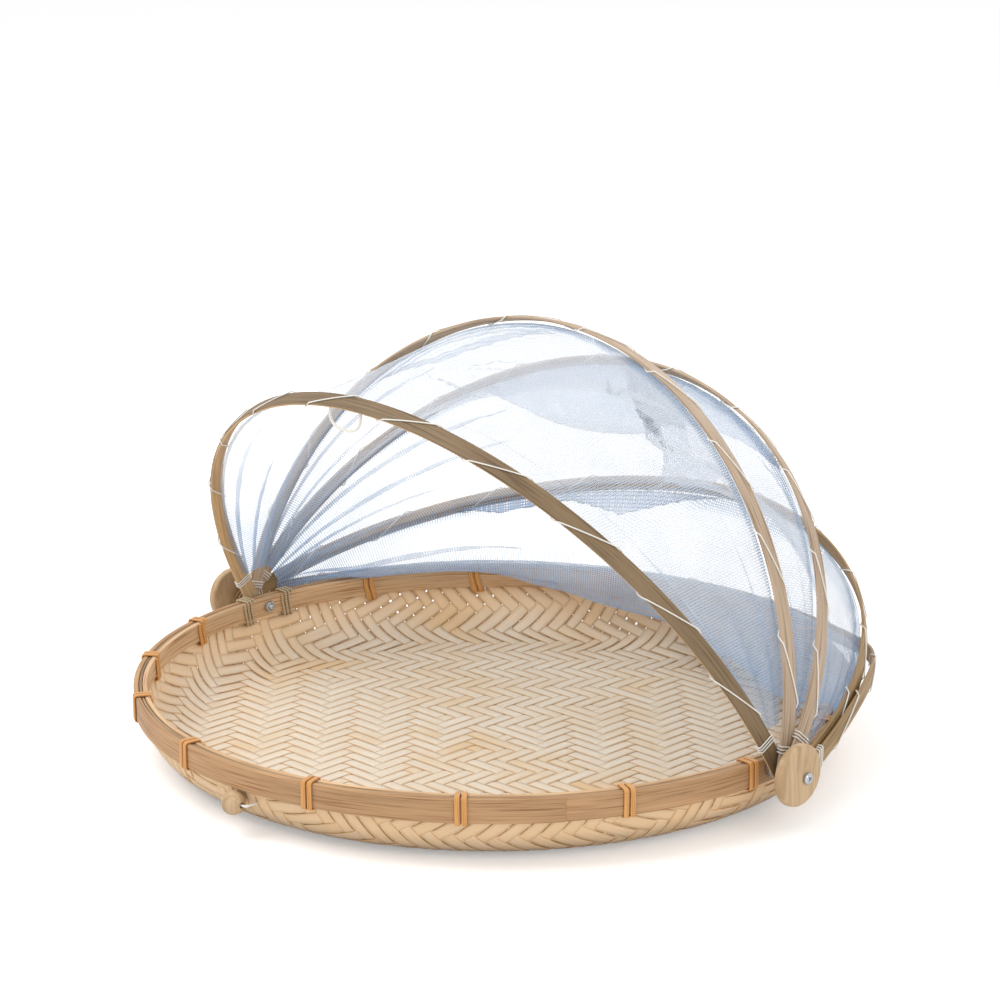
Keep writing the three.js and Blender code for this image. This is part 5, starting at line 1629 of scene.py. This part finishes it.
class AddHoops(bpy.types.Operator):
    """Add the five bent bamboo hoops"""

    bl_idname = "net_tray.add_hoops"
    bl_label = "Hoops"

    def execute(self, context):
        sizes = context.scene.net_tray.canopy
        front, middle, rear = (
            split_bamboo(f"bamboo_hoop_{word}_skin", linear(light), base, linear(dark), 0.9 * MM, seed, gain)
            for word, light, base, dark, seed, gain in (
                ("front", "#877152", sizes.front_hoop_colour, "#50402c", 1.0, 2.9),
                ("middle", "#c2ac93", sizes.middle_hoop_colour, "#7d6549", 2.0, 1.0),
                ("rear", "#b39468", sizes.rear_hoop_colour, "#6e5435", 4.0, 1.0),
            )
        )
        finishes = (front, middle, middle, rear, rear)
        section = rounded_section(HOOP_WIDTH, HOOP_THICKNESS, HOOP_EDGE)
        for i, arch in enumerate(ARCHES):
            tail = HOOP_WIDTH / 2
            ends = tail * np.sin(np.linspace(-math.pi / 2, 0, 9))[:-1]
            lengths = np.concatenate(
                [ends, np.linspace(0, arch.length, HOOP_STEPS), arch.length - ends[::-1]]
            )
            at, out = arch.along(np.clip(lengths, 0, arch.length))
            below = np.minimum(lengths, arch.length - lengths).clip(max=0)
            at[:, 1] += below
            widths = np.sqrt(np.clip(1 - (below / tail) ** 2, 0.0025, 1))
            across = np.tile([0.0, 0.0, 1.0], (len(at), 1))
            piece = swept(
                f"hoop_{i + 1}_strip",
                arch.placed(at),
                arch.placed(across, True),
                arch.placed(out, True),
                section,
                widths=widths,
            )
            cut_away(piece, *both_bolt_holes())
            dress(piece, finishes[i], hoop_body(i), "hoop_bamboo", f"hoop_{i + 1}")
        return {"FINISHED"}


class AddThreads(bpy.types.Operator):
    """Add the threads that lace the net to the hoops and bind their ends"""

    bl_idname = "net_tray.add_threads"
    bl_label = "Lacing and Whipping"

    def execute(self, context):
        sizes = context.scene.net_tray.canopy
        yarn = twisted_yarn("cotton_thread_white", sizes.thread_colour, linear("#cfcac0"), THREAD_PLY)
        tree = thread_tree()
        values = {"Thickness": sizes.thread_size, "Step": THREAD_STEP, "Material": yarn}
        # a slow slant across the outer face, then a quick pass under the hoop
        shares = np.array([0, 0.04, 0.3, 0.56, 0.6, 0.64, 0.8, 0.96, 1])
        for i, arch in enumerate(ARCHES):
            laced = arch.length - 2 * LACING_START
            steps = np.arange(LACING_TURNS * TURN_POINTS + 1) / TURN_POINTS
            drawn = np.floor(steps) + np.interp(steps % 1, np.arange(9) / 8, shares)
            lengths = LACING_START + laced / LACING_TURNS * drawn
            lacing = line_piece(f"hoop_{i + 1}_net_thread", arch.placed(round_hoop(arch, lengths, steps)))
            grow(lacing, tree, values)
            dress(lacing, None, hoop_body(i), "white_thread", f"hoop_{i + 1}_lacing")
            start = WHIPPING_STARTS[i] * MM
            far = arch.length - start - WHIPPING_PITCH * WHIPPING_TURNS
            for place, word in ((start, "right"), (far, "left")):
                steps = np.arange(WHIPPING_TURNS * TURN_POINTS + 1) / TURN_POINTS
                line = round_hoop(arch, place + WHIPPING_PITCH * steps, steps)
                whipping = line_piece(f"hoop_{i + 1}_binding_{word}", arch.placed(line))
                grow(whipping, tree, values)
                dress(whipping, None, hoop_body(i), "white_thread", f"hoop_{i + 1}_whipping_{word}")
        return {"FINISHED"}


def net_edge(i, shares, across, tuck):
    """Where the net hangs under a hoop, at shares of its laced length."""
    arch = ARCHES[i]
    at, out = arch.along(NET_START + (arch.length - 2 * NET_START) * shares)
    local = at - out * (NET_INSET + tuck)[:, None]
    local[:, 2] += across
    return arch.placed(local)


def slack_at(shares):
    """How freely the net hangs, from 0 at both ends of a panel to 1 at its crest."""
    return np.sin(math.pi * shares) ** 1.5


def smooth_rows(stops, count):
    """Smooth lines of points through the given stops, each an array of one point for each line."""
    padded = [2 * stops[0] - stops[1], *stops, 2 * stops[-1] - stops[-2]]
    places = np.linspace(0, len(stops) - 1, count)
    columns = []
    for place in places:
        k = min(int(place), len(stops) - 2)
        columns.append(curve_point(*padded[k : k + 4], place - k))
    return np.stack(columns, axis=1)


def longest(lines):
    """The length of the longest line of points."""
    return float(np.linalg.norm(np.diff(lines, axis=1), axis=2).sum(axis=1).max())


def ramp(values, start, end):
    """A smooth step from 0 at the start to 1 at the end."""
    share = np.clip((values - start) / (end - start), 0, 1)
    return share * share * (3 - 2 * share)


def rear_panel(front, rear, count):
    """The slack net of the last panel: from the rear hoop over the rim, down inside and up again."""
    bearing = np.arctan2(rear[:, 1], rear[:, 0])
    degrees = np.degrees(bearing)
    heading = np.stack([np.cos(bearing), np.sin(bearing)], axis=1)

    def on_bearing(radius, height):
        return np.concatenate([heading * radius[:, None], height[:, None]], axis=1)

    level = np.interp(degrees, FOLD_BEARINGS, FOLD_HEIGHTS) * MM
    reach = np.interp(degrees, FOLD_BEARINGS, FOLD_RADII) * MM
    lifted = np.maximum(rear[:, 2] - PIVOT_HEIGHT, 0)
    ripple = np.sin(bearing * 11) + 0.5 * np.sin(bearing * 19 + 1)
    fold = on_bearing(reach + RIPPLE_OUT * ripple, level + RIPPLE_UP * ripple)
    over_rim = [
        (np.full_like(reach, radius * MM), height * MM + rise * lifted) for radius, height, rise in OVER_RIM
    ]
    outside, above = (on_bearing(*place) for place in over_rim[:2])
    radius, height = over_rim[2][0], np.maximum(over_rim[2][1], level)
    inside = on_bearing(radius, height)
    # from the rim the net hangs to the fold, and from there it rises to the hoop in front
    hanging = on_bearing(0.6 * reach + 0.4 * radius + RIPPLE_HANGING * ripple, 0.65 * level + 0.35 * height)
    first = 0.74 * fold + 0.26 * front - np.array([0, 0, SLACK_DIPS[0]])
    second = 0.38 * fold + 0.62 * front - np.array([0, 0, SLACK_DIPS[1]])
    draped = smooth_rows([rear, outside, above, inside, hanging, fold, first, second, front], count)[:, ::-1]
    cross = np.linspace(0, 1, count)[None, :, None]
    straight = front[:, None] * (1 - cross) + rear[:, None] * cross
    right, left = (ramp(degrees, *bearings) for bearings in SLACK_STARTS)
    share = (right * left)[:, None, None]
    return straight * (1 - share) + draped * share


def gore(front, rear, shares, i):
    """The smooth surface of a panel that hangs in from hoop to hoop."""
    cross = np.linspace(0, 1, GORE_COLUMNS)
    grid = front[:, None] * (1 - cross)[None, :, None] + rear[:, None] * cross[None, :, None]
    middle = np.sin(math.pi * cross)[None, :]
    ripple = np.sin(2 * math.pi * NET_FOLD_COUNTS[i] * cross[None, :] + 3 * math.pi * shares[:, None])
    fold = NET_FOLDS[i] * MM * ripple * middle
    sag = NET_SAGS[i] * MM * middle
    # fine gathers where the net is drawn up under the hoops
    waves = np.sin(2 * math.pi * DRAWN_WAVES * shares[:, None] + 5 * ripple)
    drawn = DRAWN_DEPTH * waves * (1 - middle) * np.sqrt(middle)
    inward = np.array([0, 0, PIVOT_HEIGHT]) - grid
    inward /= np.linalg.norm(inward, axis=2, keepdims=True)
    return grid + inward * ((sag + fold + drawn) * slack_at(shares)[:, None])[:, :, None]


def pleat(values, low, high):
    """Lets values run on to the high place, back to the low one and on again, with the layer's depth."""
    wide = high - low
    before, after = np.clip(low - 1.2 * wide, 0, 1), np.clip(high + 1.2 * wide, 0, 1)
    up, rest = high - before, after - low
    even = (after - before) / np.maximum(up + wide + rest, 1e-9)
    turn, back = before + up * even, before + (up + wide) * even
    shares = [
        np.clip((values - start) / np.maximum(end - start, 1e-9), 0, 1)
        for start, end in ((before, turn), (turn, back), (back, after))
    ]
    zones = [values < before, values < turn, values < back, values < after]
    places = [values, before + up * shares[0], high - wide * shares[1], low + rest * shares[2]]
    depths = [0 * values, shares[0] ** 3, 1 - 2 * shares[1], -((1 - shares[2]) ** 3)]
    strength = np.clip(wide / 0.01, 0, 1)
    return np.select(zones, places, values), np.select(zones, depths, 0) * strength


def sampled(grid, shares, crosses):
    """The points of a grid at shares of its rows and columns."""
    rows, columns = grid.shape[:2]
    row, column = np.clip(shares, 0, 1) * (rows - 1), np.clip(crosses, 0, 1) * (columns - 1)
    k = np.minimum(row.astype(int), rows - 2)
    m = np.minimum(column.astype(int), columns - 2)
    u, v = (row - k)[..., None], (column - m)[..., None]
    near = grid[k, m] * (1 - u) + grid[k + 1, m] * u
    far = grid[k, m + 1] * (1 - u) + grid[k + 1, m + 1] * u
    return near * (1 - v) + far * v


def creases_of(i):
    """All pleats of panel i: its swags, its creases and the gathers at both ends."""
    pleats = [(*swag, SWAG_ROOM) for swag in NET_SWAGS[i]]
    for runs_along, keys, places, wide in NET_CREASES[i]:
        # a crease runs out at both its ends
        half = wide / 2 * np.sin(np.linspace(0, math.pi, len(keys)))
        pleats.append((runs_along, keys, places - half, places + half, CREASE_ROOM))
    for k in range(GATHERS[i]):
        place = (k + 0.6) / (GATHERS[i] + 0.2)
        end = GATHER_REACH + GATHER_SPREAD * math.sin(5 * k + i)
        keys = (0, 0.5 * end, end, 1 - end, 1 - 0.5 * end, 1)
        half = GATHER_HALF * np.array((1, 0.6, 0, 0, 0.6, 1))
        pleats.append((True, keys, place - half, place + half, CREASE_ROOM))
    return pleats


def pleated(grid, pleats):
    """Lays a panel's surface in its pleats, each a fold of three layers with a changing width."""
    shares = np.linspace(0, 1, NET_ROWS)[:, None] * np.ones(NET_COLUMNS)
    crosses = np.ones(NET_ROWS)[:, None] * np.linspace(0, 1, NET_COLUMNS)
    depth = np.zeros_like(shares)
    for runs_along, keys, lows, highs, room in pleats:
        if runs_along:
            low, high = (np.interp(shares, keys, each) for each in (lows, highs))
            crosses, layer = pleat(crosses, low, high)
        else:
            low, high = (np.interp(crosses, keys, each) for each in (lows, highs))
            shares, layer = pleat(shares, low, high)
        depth += layer * room
    normals = np.cross(np.gradient(grid, axis=0), np.gradient(grid, axis=1))
    normals /= np.maximum(np.linalg.norm(normals, axis=2, keepdims=True), 1e-12)
    points = sampled(grid, shares, crosses)
    return points + sampled(normals, shares, crosses) * depth[..., None]


def bunched_and_shaded_shares(i):
    """How much panel i's net is bunched, with more cover and painted shade, at each point: at its hems and
    ends, and where it is slack.
    """
    crosses = np.linspace(0, 1, NET_COLUMNS)
    front_hem = ramp(crosses, *HEM_SHARES) * (i > 0)
    rear_hem = ramp(1 - crosses, *HEM_SHARES)
    is_last = i == len(ARCHES) - 2
    slack = SLACK_BUNCH * ramp(crosses, *SLACK_SHARES) * is_last
    ends = ramp(np.abs(np.linspace(-1, 1, NET_ROWS)), *END_SHARES)
    return np.maximum(ends[:, None], np.maximum(np.maximum(rear_hem, front_hem), slack))


class AddNet(bpy.types.Operator):
    """Add the net that hangs from hoop to hoop"""

    bl_idname = "net_tray.add_net"
    bl_label = "Net"

    def execute(self, context):
        sizes = context.scene.net_tray.canopy
        material = tulle(sizes)
        shares = np.linspace(0, 1, GORE_ROWS)
        tuck = HOOP_PITCH * (1 - slack_at(shares))
        for i in range(len(ARCHES) - 1):
            front = net_edge(i, shares, -NET_ASIDE, np.zeros_like(shares))
            rear = net_edge(i + 1, shares, NET_ASIDE, tuck)
            is_last = i == len(ARCHES) - 2
            surface = rear_panel(front, rear, GORE_COLUMNS) if is_last else gore(front, rear, shares, i)
            grid = pleated(surface, creases_of(i))
            along = lengths_along(grid[:, NET_COLUMNS // 2])
            around = lengths_along(grid[NET_ROWS // 2])
            piece = grid_piece(f"net_panel_{i + 1}", grid, along, around, ring=False)
            piece.data.shade_smooth()
            piece.data.materials.append(material)
            # where the net is bunched it covers more and is painted in shade
            marks = piece.data.attributes.new("bunched_and_shaded", "FLOAT", "POINT")
            marks.data.foreach_set("value", bunched_and_shaded_shares(i).ravel())
            # the rear hoop's bent leg stands above its plane, so the last panel's blend starts there
            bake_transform(piece)
            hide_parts(f"net_gore_{i + 1}")
            tuple(1.02 * longest(lines) for lines in (grid, grid.swapaxes(0, 1)))
        return {"FINISHED"}


class AddClosure(bpy.types.Operator):
    """Add the wooden bead under the front of the rim and its cord"""

    bl_idname = "net_tray.add_closure"
    bl_label = "Bead"

    def execute(self, context):
        sizes = context.scene.net_tray.canopy
        turn = math.radians(BEAD_ANGLE)
        radial = np.array([math.cos(turn), math.sin(turn), 0])
        tangent = np.array([-math.sin(turn), math.cos(turn), 0])
        low, high = (np.array(corner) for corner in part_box("closure_bead"))
        centre = (low + high) / 2
        hollow = math.asin(BEAD_BORE_RADIUS / BEAD_RADIUS)
        profile = [
            (-BEAD_RADIUS * math.cos(angle), BEAD_RADIUS * math.sin(angle))
            for angle in np.linspace(hollow, math.pi - hollow, 30)
        ]
        bead = turned("bead", profile, centre, tangent, 48)
        reach = tangent * BEAD_TOOL_REACH
        cut_away(bead, rod(BEAD_BORE_RADIUS * 0.98, centre - reach, centre + reach))
        dress(bead, turned_beech(sizes), "tray", "turned_wood", "closure_bead")
        points = np.array([vertex.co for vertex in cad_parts["bead_cord"].data.vertices])
        depths, sides = points @ radial, points @ tangent
        inner, outer = depths.min() + BEAD_CORD / 2, depths.max() - BEAD_CORD / 2
        half = (sides.max() - sides.min()) / 2 - BEAD_CORD / 2
        corners, edge = [], BEAD_CORD_EDGE
        for k, (depth, side) in enumerate(((outer, 1), (inner, 1), (inner, -1), (outer, -1))):
            depth_in = depth - edge if depth == outer else depth + edge
            for step in range(5):
                angle = math.pi / 2 * (k + step / 4)
                out = depth_in + edge * math.cos(angle)
                aside = side * (half - edge) + edge * math.sin(angle)
                corners.append(radial * out + tangent * aside)
        route = np.array(corners) + np.array([0, 0, centre[2]])
        line = line_piece("bead_thread", route, loop=True)
        thread = twisted_yarn("cotton_thread_bead", sizes.thread_colour, linear("#cfcac0"), 0.9 * MM)
        grow(line, thread_tree(), {"Thickness": BEAD_CORD, "Step": 0.5 * MM, "Material": thread})
        dress(line, None, "tray", "white_thread", "bead_cord")
        return {"FINISHED"}


class NetTrayPanel(bpy.types.Panel):
    """Lists the tray's pieces and their settings"""

    bl_idname = "VIEW3D_PT_net_tray"
    bl_label = "Net Tray"
    bl_space_type = "VIEW_3D"
    bl_region_type = "UI"
    bl_category = "Net Tray"

    def draw(self, context):
        settings = context.scene.net_tray
        groups = {"Tray": settings.tray, "Canopy": settings.canopy, "Stage": settings.stage}
        for title, group in groups.items():
            box = self.layout.box()
            box.label(text=title)
            for name in group.__annotations__:
                box.prop(group, name)
        for operator in OPERATORS:
            self.layout.operator(operator.bl_idname)


OPERATORS = (
    AddStage,
    AddPullLoop,
    AddWeave,
    AddRimBands,
    AddTies,
    AddPivots,
    AddHoops,
    AddThreads,
    AddNet,
    AddClosure,
)
CLASSES = (TraySettings, CanopySettings, StageSettings, NetTraySettings, *OPERATORS, NetTrayPanel)


def register():
    """Registers the classes and the scene's settings."""
    for each in CLASSES:
        bpy.utils.register_class(each)
    bpy.types.Scene.net_tray = PointerProperty(type=NetTraySettings)


def unregister():
    """Removes the scene's settings and the classes."""
    del bpy.types.Scene.net_tray
    for each in reversed(CLASSES):
        bpy.utils.unregister_class(each)


def main():
    register()
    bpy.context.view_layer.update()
    for operator in OPERATORS:
        name = operator.bl_idname.split(".")[1]
        getattr(bpy.ops.net_tray, name)()


if __name__ == "__main__":
    main()
